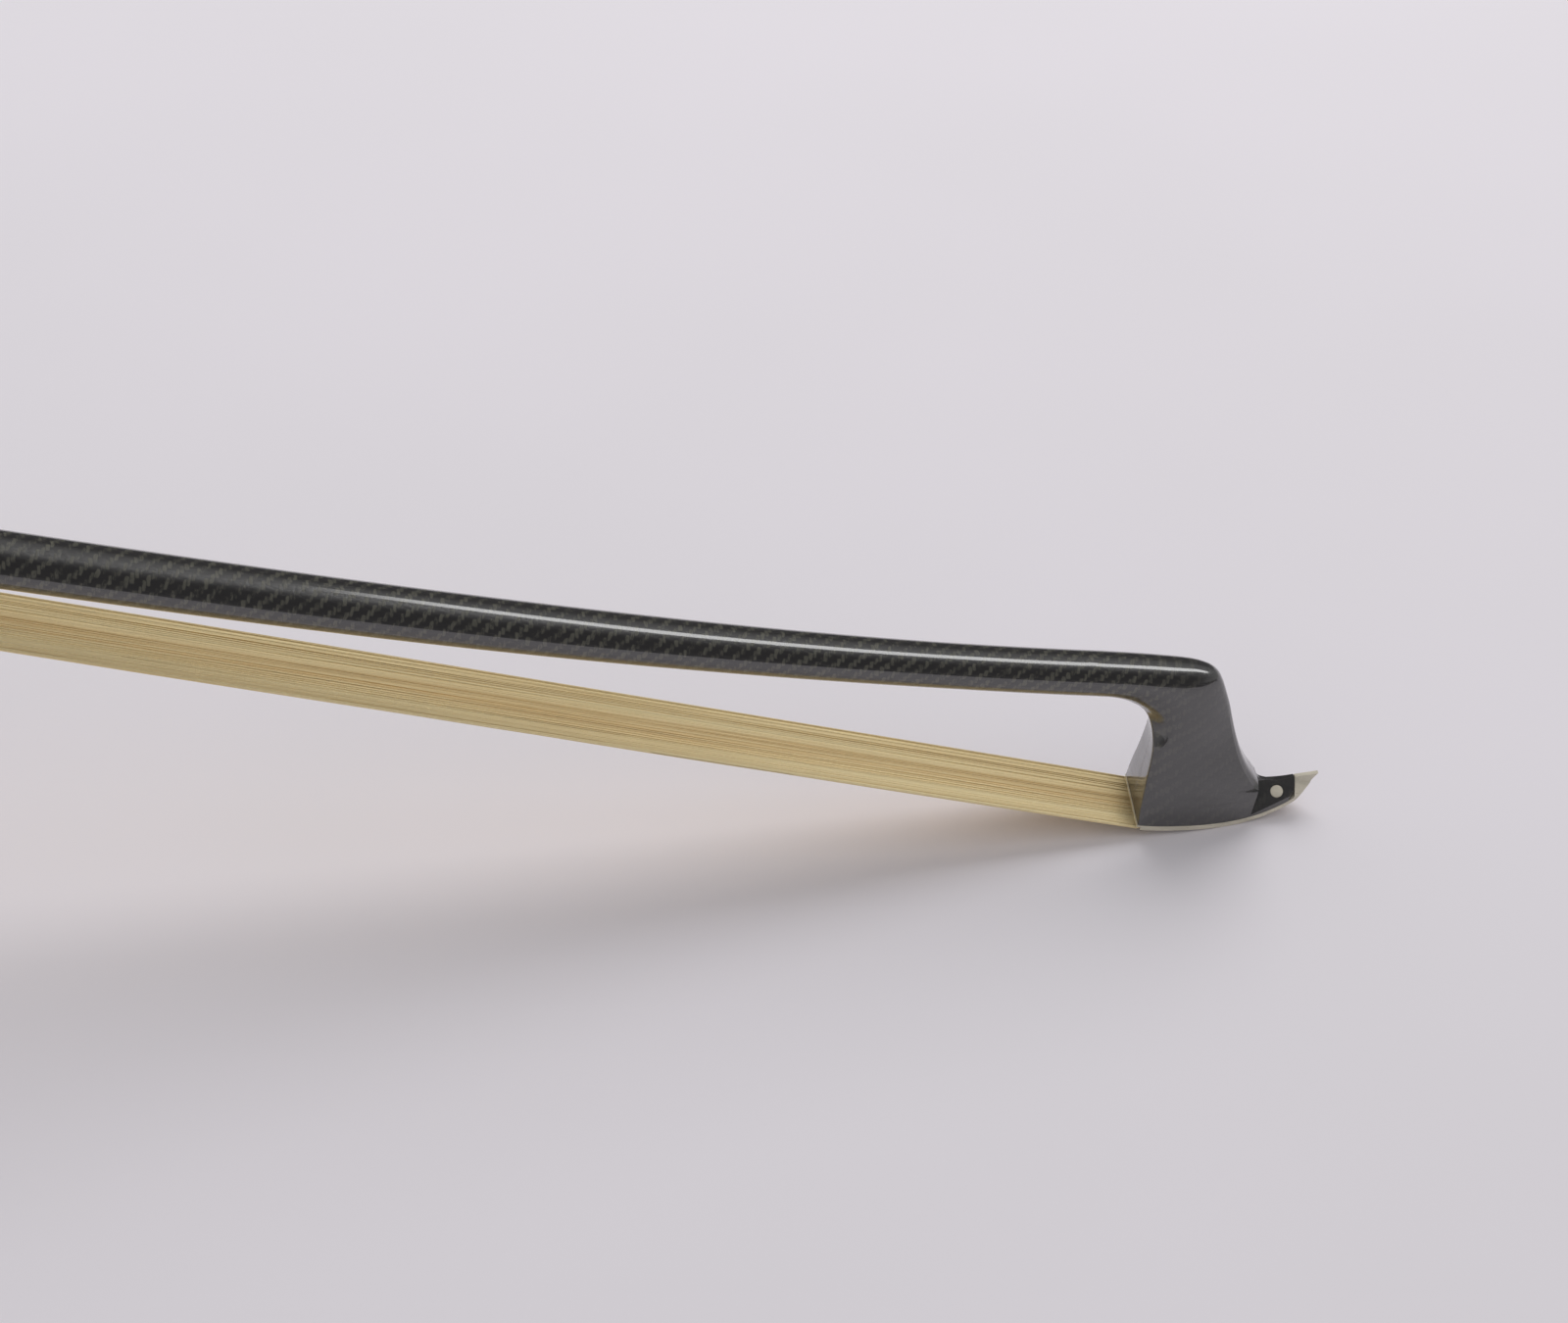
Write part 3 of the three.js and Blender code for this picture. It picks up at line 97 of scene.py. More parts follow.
def smooth_curve(places: Sequence[float], values: np.ndarray, at: np.ndarray) -> np.ndarray:
    """Runs a smooth curve through values that neither overshoots nor wiggles.

    Args:
        places: Rising positions of the known values.
        values: One row of values for each position.
        at: Positions to read the curve at.

    Returns:
        One row of values for each position in at.
    """
    x = np.asarray(places, float)
    y = np.asarray(values, float).reshape(len(x), -1)
    step = np.diff(x)[:, None]
    slope = np.diff(y, axis=0) / step
    tangent = np.zeros_like(y)
    tangent[0], tangent[-1] = slope[0], slope[-1]
    same = slope[:-1] * slope[1:] > 0
    first, second = 2 * step[1:] + step[:-1], step[1:] + 2 * step[:-1]
    with np.errstate(divide="ignore", invalid="ignore"):
        mean = (first + second) / (first / slope[:-1] + second / slope[1:])
    tangent[1:-1] = np.where(same, mean, 0)
    at = np.clip(np.asarray(at, float), x[0], x[-1])
    i = np.clip(np.searchsorted(x, at, side="right") - 1, 0, len(x) - 2)
    h = step[i, 0]
    t = ((at - x[i]) / h)[:, None]
    h = h[:, None]
    return (
        y[i] * (2 * t**3 - 3 * t**2 + 1)
        + tangent[i] * h * (t**3 - 2 * t**2 + t)
        + y[i + 1] * (3 * t**2 - 2 * t**3)
        + tangent[i + 1] * h * (t**3 - t**2)
    )


def fillet(before: Point, corner: Point, after: Point, steps: int) -> list[np.ndarray]:
    """Rounds a corner with a short curve.

    Args:
        before: Where the curve leaves the first edge.
        corner: The sharp corner it replaces.
        after: Where the curve meets the second edge.
        steps: Number of points on it, ends included.

    Returns:
        The points of the curve.
    """
    a, b, c = (np.asarray(point, float) for point in (before, corner, after))
    return [(1 - s) ** 2 * a + 2 * s * (1 - s) * b + s**2 * c for s in np.linspace(0, 1, steps)]


def circle(ahead: np.ndarray, hint: Point, radius: float, sides: int, start: float = 0.0) -> np.ndarray:
    """Draws a ring of points round a direction.

    Args:
        ahead: The direction, one long.
        hint: A direction that is not along it, which sets where the ring begins.
        radius: Radius of the ring.
        sides: Number of its points.
        start: Where the first point lies, in steps from one point to the next.

    Returns:
        The points, round the origin.
    """
    across = np.cross(ahead, hint)
    across /= np.linalg.norm(across)
    other = np.cross(ahead, across)
    turns = [TAU * (k + start) / sides for k in range(sides)]
    return np.array([radius * (math.cos(t) * across + math.sin(t) * other) for t in turns])


def bar_corners(half: float, low: float, high: float) -> list[Span]:
    """Gives y and z of the four corners of a flat bar's section."""
    return [(-half, low), (half, low), (half, high), (-half, high)]


# Meshes


class Ends(Enum):
    """How the ends of a loft are closed."""

    FACE = "one face each"
    STRIPS = "strips between the two sides"
    JOINED = "the last ring joins the first, as on a sleeve"


def rings_mesh(rings: Sequence[np.ndarray], ends: Ends = Ends.FACE) -> tuple[np.ndarray, list]:
    """Joins rings of points into a closed skin.

    Args:
        rings: Rings with the same number of points each.
        ends: How it is closed.

    Returns:
        The points, and faces as lists of their numbers.
    """
    count = len(rings[0])
    faces = []
    for r in range(len(rings) if ends is Ends.JOINED else len(rings) - 1):
        a, b = r * count, ((r + 1) % len(rings)) * count
        faces += [[a + j, a + (j + 1) % count, b + (j + 1) % count, b + j] for j in range(count)]
    for start in (0, (len(rings) - 1) * count):
        if ends is Ends.FACE:
            faces.append([start + j for j in range(count)])
        elif ends is Ends.STRIPS:
            for j in range(count // 2):
                other, following = (count - j) % count, count - j - 1
                corners = [start + j, start + j + 1, start + following, start + other]
                faces.append(list(dict.fromkeys(corners)))
    return np.concatenate([np.asarray(ring, float) for ring in rings]), faces


def tube(path: Sequence[np.ndarray], radius: float, sides: int, start: int = 0) -> tuple[list, list]:
    """Makes a thin round strand along a path that runs mostly along x or z.

    Args:
        path: Points of its middle line.
        radius: Its radius.
        sides: Number of its sides.
        start: Number of the first point, where strands share a mesh.

    Returns:
        The points and the faces.
    """
    points, faces = [], []
    last = len(path) - 1
    for i, place in enumerate(path):
        ahead = path[min(i + 1, last)] - path[max(i - 1, 0)]
        points += list(place + circle(ahead / np.linalg.norm(ahead), (0.0, 1.0, 0.0), radius, sides, 0.5))
    for i in range(last):
        a, b = start + i * sides, start + (i + 1) * sides
        faces += [[a + k, a + (k + 1) % sides, b + (k + 1) % sides, b + k] for k in range(sides)]
    faces.append([start + k for k in range(sides)])
    faces.append([start + last * sides + k for k in range(sides)])
    return points, faces


def make_piece(name: str, points: np.ndarray, faces: list, crease: float = 32.0) -> Thing:
    """Makes a mesh object from points in millimetres.

    Args:
        name: Name of the piece.
        points: Its points in the frame.
        faces: Its faces, as lists of point numbers.
        crease: Edges sharper than this angle, in degrees, stay crisp.

    Returns:
        The object, linked into the scene.
    """
    mesh = bpy.data.meshes.new(name)
    mesh.from_pydata([tuple(p) for p in np.asarray(points, float) * MM], [], faces)
    piece = bpy.data.objects.new(name, mesh)
    bpy.context.scene.collection.objects.link(piece)
    tidy_mesh(piece, crease)
    return piece


def tidy_mesh(piece: Thing, crease: float = 32.0) -> None:
    """Turns faces outwards and shades them smooth between crisp edges.

    Args:
        piece: The piece to tidy.
        crease: The angle of a crisp edge, in degrees.
    """
    work = bmesh.new()
    work.from_mesh(piece.data)
    bmesh.ops.recalc_face_normals(work, faces=work.faces)
    work.to_mesh(piece.data)
    work.free()
    piece.data.shade_smooth()
    piece.data.set_sharp_from_angle(angle=math.radians(crease))


def loop_points(mesh: bpy.types.Mesh) -> np.ndarray:
    """Gives the point number at each corner of each face.

    Args:
        mesh: The mesh.

    Returns:
        The numbers, in the order of its corners.
    """
    corners = np.empty(len(mesh.loops), np.int32)
    mesh.loops.foreach_get("vertex_index", corners)
    return corners


def carve(piece: Thing, cutters: Iterable[Thing]) -> None:
    """Cuts bodies out of a piece and removes them.

    The cut is worked out in millimetres, where it is exact enough for slender parts.

    Args:
        piece: The piece that stays.
        cutters: Closed bodies that are used up.
    """
    used = list(cutters)
    for thing in (piece, *used):
        thing.data.transform(Matrix.Scale(1 / MM, 4))
    for cutter in used:
        modifier = piece.modifiers.new(cutter.name, "BOOLEAN")
        modifier.operation, modifier.solver, modifier.object = "DIFFERENCE", "EXACT", cutter
    bpy.context.view_layer.update()
    graph = bpy.context.evaluated_depsgraph_get()
    cut = bpy.data.meshes.new_from_object(
        piece.evaluated_get(graph), preserve_all_data_layers=True, depsgraph=graph)
    piece.modifiers.clear()
    whole, piece.data = piece.data, cut
    cut.name = piece.name
    bpy.data.meshes.remove(whole)
    cut.transform(Matrix.Scale(MM, 4))
    for cutter in used:
        bpy.data.objects.remove(cutter)


def round_edges(node: Thing, width: float) -> None:
    """Rounds the edges of a CAD node a little, as polishing does, and leaves its own mesh alone.

    Args:
        node: The CAD node.
        width: Width of the rounding.
    """
    node.modifiers.new("weld", "WELD").merge_threshold = WELD_REACH
    bevel = node.modifiers.new("rounding", "BEVEL")
    bevel.width, bevel.segments = width * MM, 2
    bevel.limit_method, bevel.angle_limit = "ANGLE", EDGE_ANGLE
    bevel.use_clamp_overlap = bevel.harden_normals = True


def rod(name: str, radius: float, start: Point, end: Point, sides: int = 48) -> Thing:
    """Makes a plain closed rod between two points, used as a cutter.

    Args:
        name: Name of the object.
        radius: Its radius.
        start: Middle of one end, in the frame.
        end: Middle of the other end.
        sides: Number of its sides.

    Returns:
        The rod.
    """
    a, b = np.asarray(start, float), np.asarray(end, float)
    ahead = (b - a) / np.linalg.norm(b - a)
    ring = circle(ahead, (0, 0, 1) if abs(ahead[2]) < 0.9 else (1, 0, 0), radius, sides)
    return make_piece(name, *rings_mesh([a + ring, b + ring]))


def block(name: str, corners: Sequence[Point]) -> Thing:
    """Makes a closed body with two four-cornered ends, used as a cutter.

    Args:
        name: Name of the object.
        corners: Eight points, round one end and then round the other.

    Returns:
        The body.
    """
    points = np.asarray(corners, float)
    return make_piece(name, *rings_mesh([points[:4], points[4:]]))


# Layout


@dataclass(frozen=True)
class Layout:
    """Where the bow's stick, handle and frog lie, in millimetres from the heel of the head."""

    heel_x: float
    hair_span: float = 610.0
    low_reach: float = 310.0
    low_height: float = 9.9
    handle_lead: float = 35.0
    handle_height: float = 23.2
    head_height: float = 23.6
    handle_across: float = 10.2
    octagon_lead: float = 24.0
    round_lead: float = 72.0
    camber_power: float = 3.77
    handle_power: float = 1.8
    corner_ease: float = 1.068
    taper: tuple = (
        (0, 0.637), (0.05, 0.637), (0.097, 0.665), (0.145, 0.708), (0.19, 0.74), (0.26, 0.772),
        (0.43, 0.842), (0.69, 0.915), (0.89, 0.97), (1, 1),
    )

    @property
    def handle_x(self) -> float:
        """Where the straight handle begins."""
        return -(self.hair_span - self.handle_lead)

    @property
    def handle_run(self) -> float:
        """How far the curve runs from the stick's low point to the handle."""
        return -self.low_reach - self.handle_x

    @property
    def slope(self) -> float:
        """How steeply the handle rises towards the button."""
        return self.handle_power * (self.handle_height - self.low_height) / self.handle_run

    @property
    def pitch(self) -> float:
        """The handle's slope as an angle."""
        return math.atan(self.slope)

    @property
    def frog_drop(self) -> float:
        """How far the frog's base lies under the handle's axis."""
        return math.cos(self.pitch) * (self.handle_height + self.handle_lead * self.slope)

    def place(self, x: float, y: float = 0.0, z: float = 0.0) -> np.ndarray:
        """Puts a point of the head, measured from its heel, into the frame."""
        return np.array((x + self.heel_x, y, z))

    def on_handle(self, x: float, y: float = 0.0, z: float = 0.0) -> np.ndarray:
        """Puts a point of the handle into the frame.

        Args:
            x: Its place along the handle's axis, from over the ferrule's mouth.
            y: Its place across.
            z: Its height over the axis.

        Returns:
            The point.
        """
        c, s = math.cos(self.pitch), math.sin(self.pitch)
        mouth_x = -self.hair_span + self.frog_drop * s
        return self.place(mouth_x + x * c + z * s, y, self.frog_drop * c - x * s + z * c)

    def on_frog(self, x: float, y: float = 0.0, z: float = 0.0) -> np.ndarray:
        """Puts a point of the frog, measured from its base at the ferrule's mouth, into the frame."""
        return self.on_handle(x, y, z - self.frog_drop)

    def axis_height(self, x: float) -> float:
        """Gives the height of the stick's middle line.

        Args:
            x: A place along the bow, from the heel of the head.

        Returns:
            The height.
        """
        if x < self.handle_x:
            return self.handle_height + (self.handle_x - x) * self.slope
        if x < -self.low_reach:
            share = (-self.low_reach - x) / self.handle_run
            return lerp(self.low_height, self.handle_height, share**self.handle_power)
        share = (x + self.low_reach) / self.low_reach
        return lerp(self.low_height, self.head_height, share**self.camber_power)

    def axis_slope(self, x: float) -> float:
        """Gives the slope of the stick's middle line.

        Args:
            x: A place along the bow, from the heel of the head.

        Returns:
            The rise for each millimetre towards the tip.
        """
        if x < self.handle_x:
            return -self.slope
        if x < -self.low_reach:
            return -self.slope * ((-self.low_reach - x) / self.handle_run) ** (self.handle_power - 1)
        end = self.camber_power * (self.head_height - self.low_height) / self.low_reach
        return end * ((x + self.low_reach) / self.low_reach) ** (self.camber_power - 1)

    def half(self, x: float) -> float:
        """Gives half the stick's thickness across its flats.

        Args:
            x: A place along the bow, from the heel of the head.

        Returns:
            The half thickness.
        """
        places, girths = zip(*self.taper)
        at = clamp(x / self.handle_x)
        return self.handle_across / 2 * smooth_curve(places, np.array(girths), np.array([at]))[0, 0]

    def octagon(self, x: float) -> float:
        """One where the stick is octagonal and zero where it is round."""
        return 1 - smoothstep(x, -self.hair_span + self.octagon_lead, -self.hair_span + self.round_lead)

    def radius(self, x: float, angle: float, extra: float = 0.0) -> float:
        """Gives the distance from the stick's middle line to its skin.

        Args:
            x: A place along the bow, from the heel of the head.
            angle: The angle round the stick from its underside.
            extra: How far outside its skin to measure.

        Returns:
            The distance.
        """
        half = self.half(x) + extra
        fold = (angle + TAU / 16) % (TAU / 8) - TAU / 16
        return lerp(half, half * min(1 / math.cos(fold), self.corner_ease), self.octagon(x))

    def on_stick(self, x: float, angle: float, radius: float) -> np.ndarray:
        """Puts a point round the stick into the frame.

        Args:
            x: Its place along the bow, from the heel of the head.
            angle: Its angle round the stick from the underside.
            radius: Its distance from the stick's middle line.

        Returns:
            The point.
        """
        slope = math.atan(self.axis_slope(x))
        down = radius * math.cos(angle)
        return self.place(
            x + down * math.sin(slope), radius * math.sin(angle), self.axis_height(x) - down * math.cos(slope)
        )


# Shader nodes


def rgba(colour: Triple, factor: float = 1.0) -> tuple[float, ...]:
    """Darkens or lightens a colour by a factor, and makes it opaque."""
    return (*(channel * factor for channel in colour), 1.0)


class Graph:
    """Adds and joins nodes in one node tree."""

    def __init__(self, tree: bpy.types.NodeTree) -> None:
        """Starts with the tree that the nodes go into."""
        self.tree = tree

    @classmethod
    def fresh(cls, owner: bpy.types.ID) -> "Graph":
        """Empties the node tree of a material or of the world.

        Args:
            owner: The material or the world.

        Returns:
            The graph of its tree.
        """
        owner.use_nodes = True
        owner.node_tree.nodes.clear()
        return cls(owner.node_tree)

    def add(self, kind: str, inputs: dict | None = None, **settings: object) -> bpy.types.Node:
        """Adds a node.

        Args:
            kind: Blender's name of the node type.
            inputs: Value or socket for each named or numbered input.
            **settings: The node's own properties.

        Returns:
            The node.
        """
        node = self.tree.nodes.new(kind)
        for name, value in settings.items():
            setattr(node, name, value)
        for key, value in (inputs or {}).items():
            if isinstance(value, bpy.types.NodeSocket):
                self.tree.links.new(value, node.inputs[key])
            else:
                node.inputs[key].default_value = value
        return node

    def math(self, operation: str, first: object, second: object = 0.0, third: object = 0.0) -> Socket:
        """Works out one sum."""
        return self.add("ShaderNodeMath", {0: first, 1: second, 2: third}, operation=operation).outputs[0]

    def times(self, product: object, *factors: object) -> Socket:
        """Multiplies values one after another.

        Args:
            product: The first value.
            *factors: The others.

        Returns:
            Their product.
        """
        for factor in factors:
            product = self.math("MULTIPLY", product, factor)
        return product

    def apart(self, first: object, second: object) -> Socket:
        """Works out how far two values lie apart."""
        return self.math("ABSOLUTE", self.math("SUBTRACT", first, second))

    def blend(self, share: object, first: object, second: object) -> Socket:
        """Mixes two colours."""
        return self.add("ShaderNodeMix", {0: share, 6: first, 7: second}, data_type="RGBA").outputs[2]

    def remap(self, value: object, low: float, high: float, start: float = 0.0, end: float = 1.0) -> Socket:
        """Takes a value smoothly from one range to another, kept inside it."""
        inputs = {"Value": value, "From Min": low, "From Max": high, "To Min": start, "To Max": end}
        return self.add("ShaderNodeMapRange", inputs, interpolation_type="SMOOTHSTEP").outputs[0]

    def noise(self, vector: object, scale: float, detail: float = 2.0, rough: float = 0.5) -> Socket:
        """Reads a noise pattern."""
        inputs = {"Vector": vector, "Scale": scale, "Detail": detail, "Roughness": rough}
        return self.add("ShaderNodeTexNoise", inputs).outputs[0]

    def stretch(self, vector: object, scale: Point, turn: Point = (0.0, 0.0, 0.0)) -> Socket:
        """Scales and turns coordinates."""
        return self.add("ShaderNodeMapping", {"Vector": vector, "Scale": scale, "Rotation": turn}).outputs[0]

    def split(self, vector: object) -> bpy.types.NodeOutputs:
        """Takes coordinates apart."""
        return self.add("ShaderNodeSeparateXYZ", {0: vector}).outputs

    def place(self) -> Socket:
        """Reads the place on the object, in metres of the frame."""
        return self.add("ShaderNodeTexCoord").outputs["Object"]

    def bump(self, height: object, depth: float, strength: float = 1.0) -> Socket:
        """Turns a height map, whose full height is in millimetres, into a normal."""
        inputs = {"Height": height, "Distance": depth * MM, "Strength": strength}
        return self.add("ShaderNodeBump", inputs).outputs[0]

    def use(self, effect: "Effect", inputs: dict) -> bpy.types.NodeOutputs:
        """Places a shared effect with its own values, and gives its outputs."""
        return self.add("ShaderNodeGroup", inputs, node_tree=effect.group()).outputs


SOCKETS = {"vector": "NodeSocketVector", "value": "NodeSocketFloat"}


@dataclass(frozen=True)
class Effect:
    """A node group that several materials share.

    Attributes:
        name: Name of the group.
        takes: Name, kind and first value of each input.
        gives: Name of each output, which is a value.
    """

    name: str
    takes: tuple
    gives: tuple

    def group(self) -> bpy.types.NodeTree:
        """Gives the group, and builds it the first time.

        Returns:
            The group's node tree.
        """
        found = bpy.data.node_groups.get(self.name)
        if found:
            return found
        tree = bpy.data.node_groups.new(self.name, "ShaderNodeTree")
        for name, kind, value in self.takes:
            socket = tree.interface.new_socket(name=name, in_out="INPUT", socket_type=SOCKETS[kind])
            if value is not None:
                socket.default_value = value
        for name in self.gives:
            tree.interface.new_socket(name=name, in_out="OUTPUT", socket_type=SOCKETS["value"])
        graph = Graph(tree)
        given = graph.add("NodeGroupInput").outputs
        graph.add("NodeGroupOutput", self.build(graph, given))
        return tree

    def build(self, graph: Graph, given: bpy.types.NodeOutputs) -> dict:
        """Builds the inside of the group.

        Args:
            graph: The group's own nodes.
            given: The group's inputs.

        Returns:
            The socket behind each output.
        """
        raise NotImplementedError(self.name)


@dataclass(frozen=True)
class Braid(Effect):
    """A twill of flat tows: some run along the stick and some round it, two over and two under."""

    name: str = "braid"
    takes: tuple = (("Vector", "vector", None), ("Tow", "value", 0.7))
    gives: tuple = ("Round", "Along", "Chance")

    def build(self, graph: Graph, given: bpy.types.NodeOutputs) -> dict:
        """Builds the floats of both families, each as a soft pillow with a chance of its own.

        Args:
            graph: The group's own nodes.
            given: The coordinates laid on the piece, and the width of a tow.

        Returns:
            The pillows that run round and along, and the chance of each float.
        """
        laid = graph.split(given["Vector"])
        along = graph.math("DIVIDE", laid[0], given["Tow"])
        around = graph.math("DIVIDE", laid[1], given["Tow"])
        column, row = graph.math("FLOOR", along), graph.math("FLOOR", around)
        hoop, line = graph.math("ADD", around, column), graph.math("ADD", along, row)
        pillows = []
        for way, across, start in ((hoop, along, 0.0), (line, around, 2.0)):
            place = graph.math("SUBTRACT", graph.math("FLOORED_MODULO", way, 4.0), start)
            inside = graph.times(graph.math("GREATER_THAN", place, 0.0), graph.math("LESS_THAN", place, 2.0))
            long = graph.math("SINE", graph.times(place, math.pi / 2))
            wide = graph.math("SINE", graph.times(graph.math("FRACT", across), math.pi))
            pillow = graph.math("SQRT", graph.math("MAXIMUM", graph.times(long, wide), 0.0))
            pillows.append(graph.times(pillow, inside))
        count = graph.math("FLOOR", graph.math("DIVIDE", hoop, 4.0))
        cell = graph.add("ShaderNodeCombineXYZ", {0: column, 1: count}).outputs[0]
        chance = graph.add("ShaderNodeTexWhiteNoise", {0: cell}, noise_dimensions="3D").outputs[0]
        return {"Round": pillows[0], "Along": pillows[1], "Chance": chance}


@dataclass(frozen=True)
class Grain(Effect):
    """Long streaks with short pores, as in wood and bone."""

    name: str = "grain"
    takes: tuple = (("Vector", "vector", None), ("Streaks", "value", 400.0), ("Pores", "value", 900.0))
    gives: tuple = ("Streak", "Pore")

    def build(self, graph: Graph, given: bpy.types.NodeOutputs) -> dict:
        """Builds streaks from long noise and pores from its sparse peaks.

        Args:
            graph: The group's own nodes.
            given: The place, and how fine streaks and pores are.

        Returns:
            The masks of the streaks and of the pores.
        """
        streak = graph.noise(graph.stretch(given["Vector"], (0.05, 1, 1)), given["Streaks"], 3.0, 0.6)
        pore = graph.noise(graph.stretch(given["Vector"], (0.12, 1, 1)), given["Pores"], 1.0)
        return {"Streak": graph.remap(streak, 0.3, 0.7), "Pore": graph.remap(pore, 0.62, 0.72)}


@dataclass(frozen=True)
class Handling(Effect):
    """Dull patches and fine scratches that use leaves on a polished surface."""

    name: str = "handling"
    takes: tuple = (("Vector", "vector", None), ("Patches", "value", 120.0), ("Scratches", "value", 500.0))
    gives: tuple = ("Patch", "Scratch")

    def build(self, graph: Graph, given: bpy.types.NodeOutputs) -> dict:
        """Builds the two masks from noise at two scales.

        Args:
            graph: The group's own nodes.
            given: The place, and how fine patches and scratches are.

        Returns:
            The masks of the patches and of the scratches.
        """
        patch = graph.remap(graph.noise(given["Vector"], given["Patches"], 4.0, 0.6), 0.35, 0.7)
        turned = graph.stretch(given["Vector"], (0.08, 1, 1), (0.3, 0.25, 0.5))
        return {"Patch": patch, "Scratch": graph.remap(graph.noise(turned, given["Scratches"]), 0.6, 0.68)}


@dataclass(frozen=True)
class Finish:
    """A surface finish that becomes a Blender material.

    Attributes:
        slot: The record's name of the material.
        colour: Its middle colour, linear.
    """

    slot: str
    colour: Triple

    def material(self) -> bpy.types.Material:
        """Gives the material, and builds it the first time.

        Returns:
            The material.
        """
        name = self.slot + "_finish"
        found = bpy.data.materials.get(name)
        if found:
            return found
        material = bpy.data.materials.new(name)
        graph = Graph.fresh(material)
        shader = graph.add("ShaderNodeBsdfPrincipled", self.surface(graph))
        graph.add("ShaderNodeOutputMaterial", {"Surface": shader.outputs[0]})
        return material

    def surface(self, graph: Graph) -> dict:
        """Builds what the shader shows.

        Args:
            graph: The material's nodes.

        Returns:
            Value or socket for each of the shader's inputs.
        """
        raise NotImplementedError(self.slot)


@dataclass(frozen=True)
class Carbon(Finish):
    """Woven carbon fibre under a gloss coat, with glints painted in as paler flecks that fade on the shaded
    head.
    """

    slot: str = "carbon"
    # The paler colour of the tows' floats, which paints their glints; dark is the carbon's own colour.
    colour: Triple = (0.1, 0.096, 0.075)
    dark: Triple = (0.03, 0.028, 0.028)
    tow: float = 0.58
    wander: float = 1.2
    # Where the painted glints fade out over the head, whose sides lie in shade.
    glint_fade_from: float = 0.335
    glint_fade_width: float = 0.012

    def surface(self, graph: Graph) -> dict:
        """Paints the tows' glints into the colour and their sheen into the roughness, under a smooth coat.

        Args:
            graph: The material's nodes.

        Returns:
            Value or socket for each of the shader's inputs.
        """
        laid = graph.add("ShaderNodeUVMap", uv_map="braid").outputs[0]
        ways = (((0.5, 0.5, 0.5), (0.0, 0.0, 0.0)), ((0.45, 0.45, 0.45), (0.0, 0.0, 1.0)))
        drift = [graph.times(graph.noise(graph.stretch(laid, *way), 1.0), self.wander) for way in ways]
        offset = graph.add("ShaderNodeCombineXYZ", {0: drift[0], 1: drift[1]}).outputs[0]
        shifted = graph.add("ShaderNodeVectorMath", {0: laid, 1: offset}, operation="ADD").outputs[0]
        braid = graph.use(Braid(), {"Vector": shifted, "Tow": self.tow})
        fine = graph.noise(graph.stretch(laid, (2.6, 1.1, 1.0)), 1.0, 2.0, 0.7)
        # Painted glints: floats that would catch the top light get a paler colour, at random strengths.
        glint_chance = graph.math("MULTIPLY_ADD", braid["Chance"], 0.6, graph.remap(fine, 0.3, 0.7, 0.0, 0.6))
        along = graph.split(graph.place())[0]
        # The painted glints fade to a fifth over the head, where its sides are in shade.
        glint_fade_on_head = graph.remap(along, self.glint_fade_from - self.glint_fade_width, self.glint_fade_from, 1.0, 0.2)
        painted_glint_floats = graph.times(graph.remap(braid["Round"], 0.0, 0.7), graph.remap(glint_chance, 0.1, 0.9), glint_fade_on_head)
        return {
            "Base Color": graph.blend(painted_glint_floats, rgba(self.dark), rgba(self.colour)),
            "Roughness": graph.remap(painted_glint_floats, 0.0, 1.0, 0.3, 0.5),
            "Normal": graph.bump(graph.math("ADD", braid["Round"], braid["Along"]), 0.014),
            "IOR": 1.5,
            "Coat Weight": 1.0,
            "Coat IOR": 1.75,
            "Coat Roughness": 0.04,
        }


@dataclass(frozen=True)
class Bone(Finish):
    """Polished cream bone with faint canals along it."""

    slot: str = "bone"
    colour: Triple = (0.66, 0.61, 0.5)
    canal: Triple = (0.36, 0.29, 0.2)

    def surface(self, graph: Graph) -> dict:
        """Adds streaks, short canals and handling marks.

        Args:
            graph: The material's nodes.

        Returns:
            Value or socket for each of the shader's inputs.
        """
        place = graph.place()
        grain = graph.use(Grain(), {"Vector": place, "Streaks": 900.0, "Pores": 2600.0})
        marks = graph.use(Handling(), {"Vector": place, "Patches": 260.0})
        colour = graph.blend(grain["Streak"], rgba(self.colour, 0.86), rgba(self.colour, 1.08))
        return {
            "Base Color": graph.blend(graph.times(grain["Pore"], 0.4), colour, rgba(self.canal)),
            "Roughness": graph.remap(marks["Patch"], 0.0, 1.0, 0.26, 0.42),
            "Normal": graph.bump(graph.math("SUBTRACT", 1.0, grain["Pore"]), 0.02, 0.4),
            "Coat Weight": 0.25,
            "Coat Roughness": 0.12,
        }


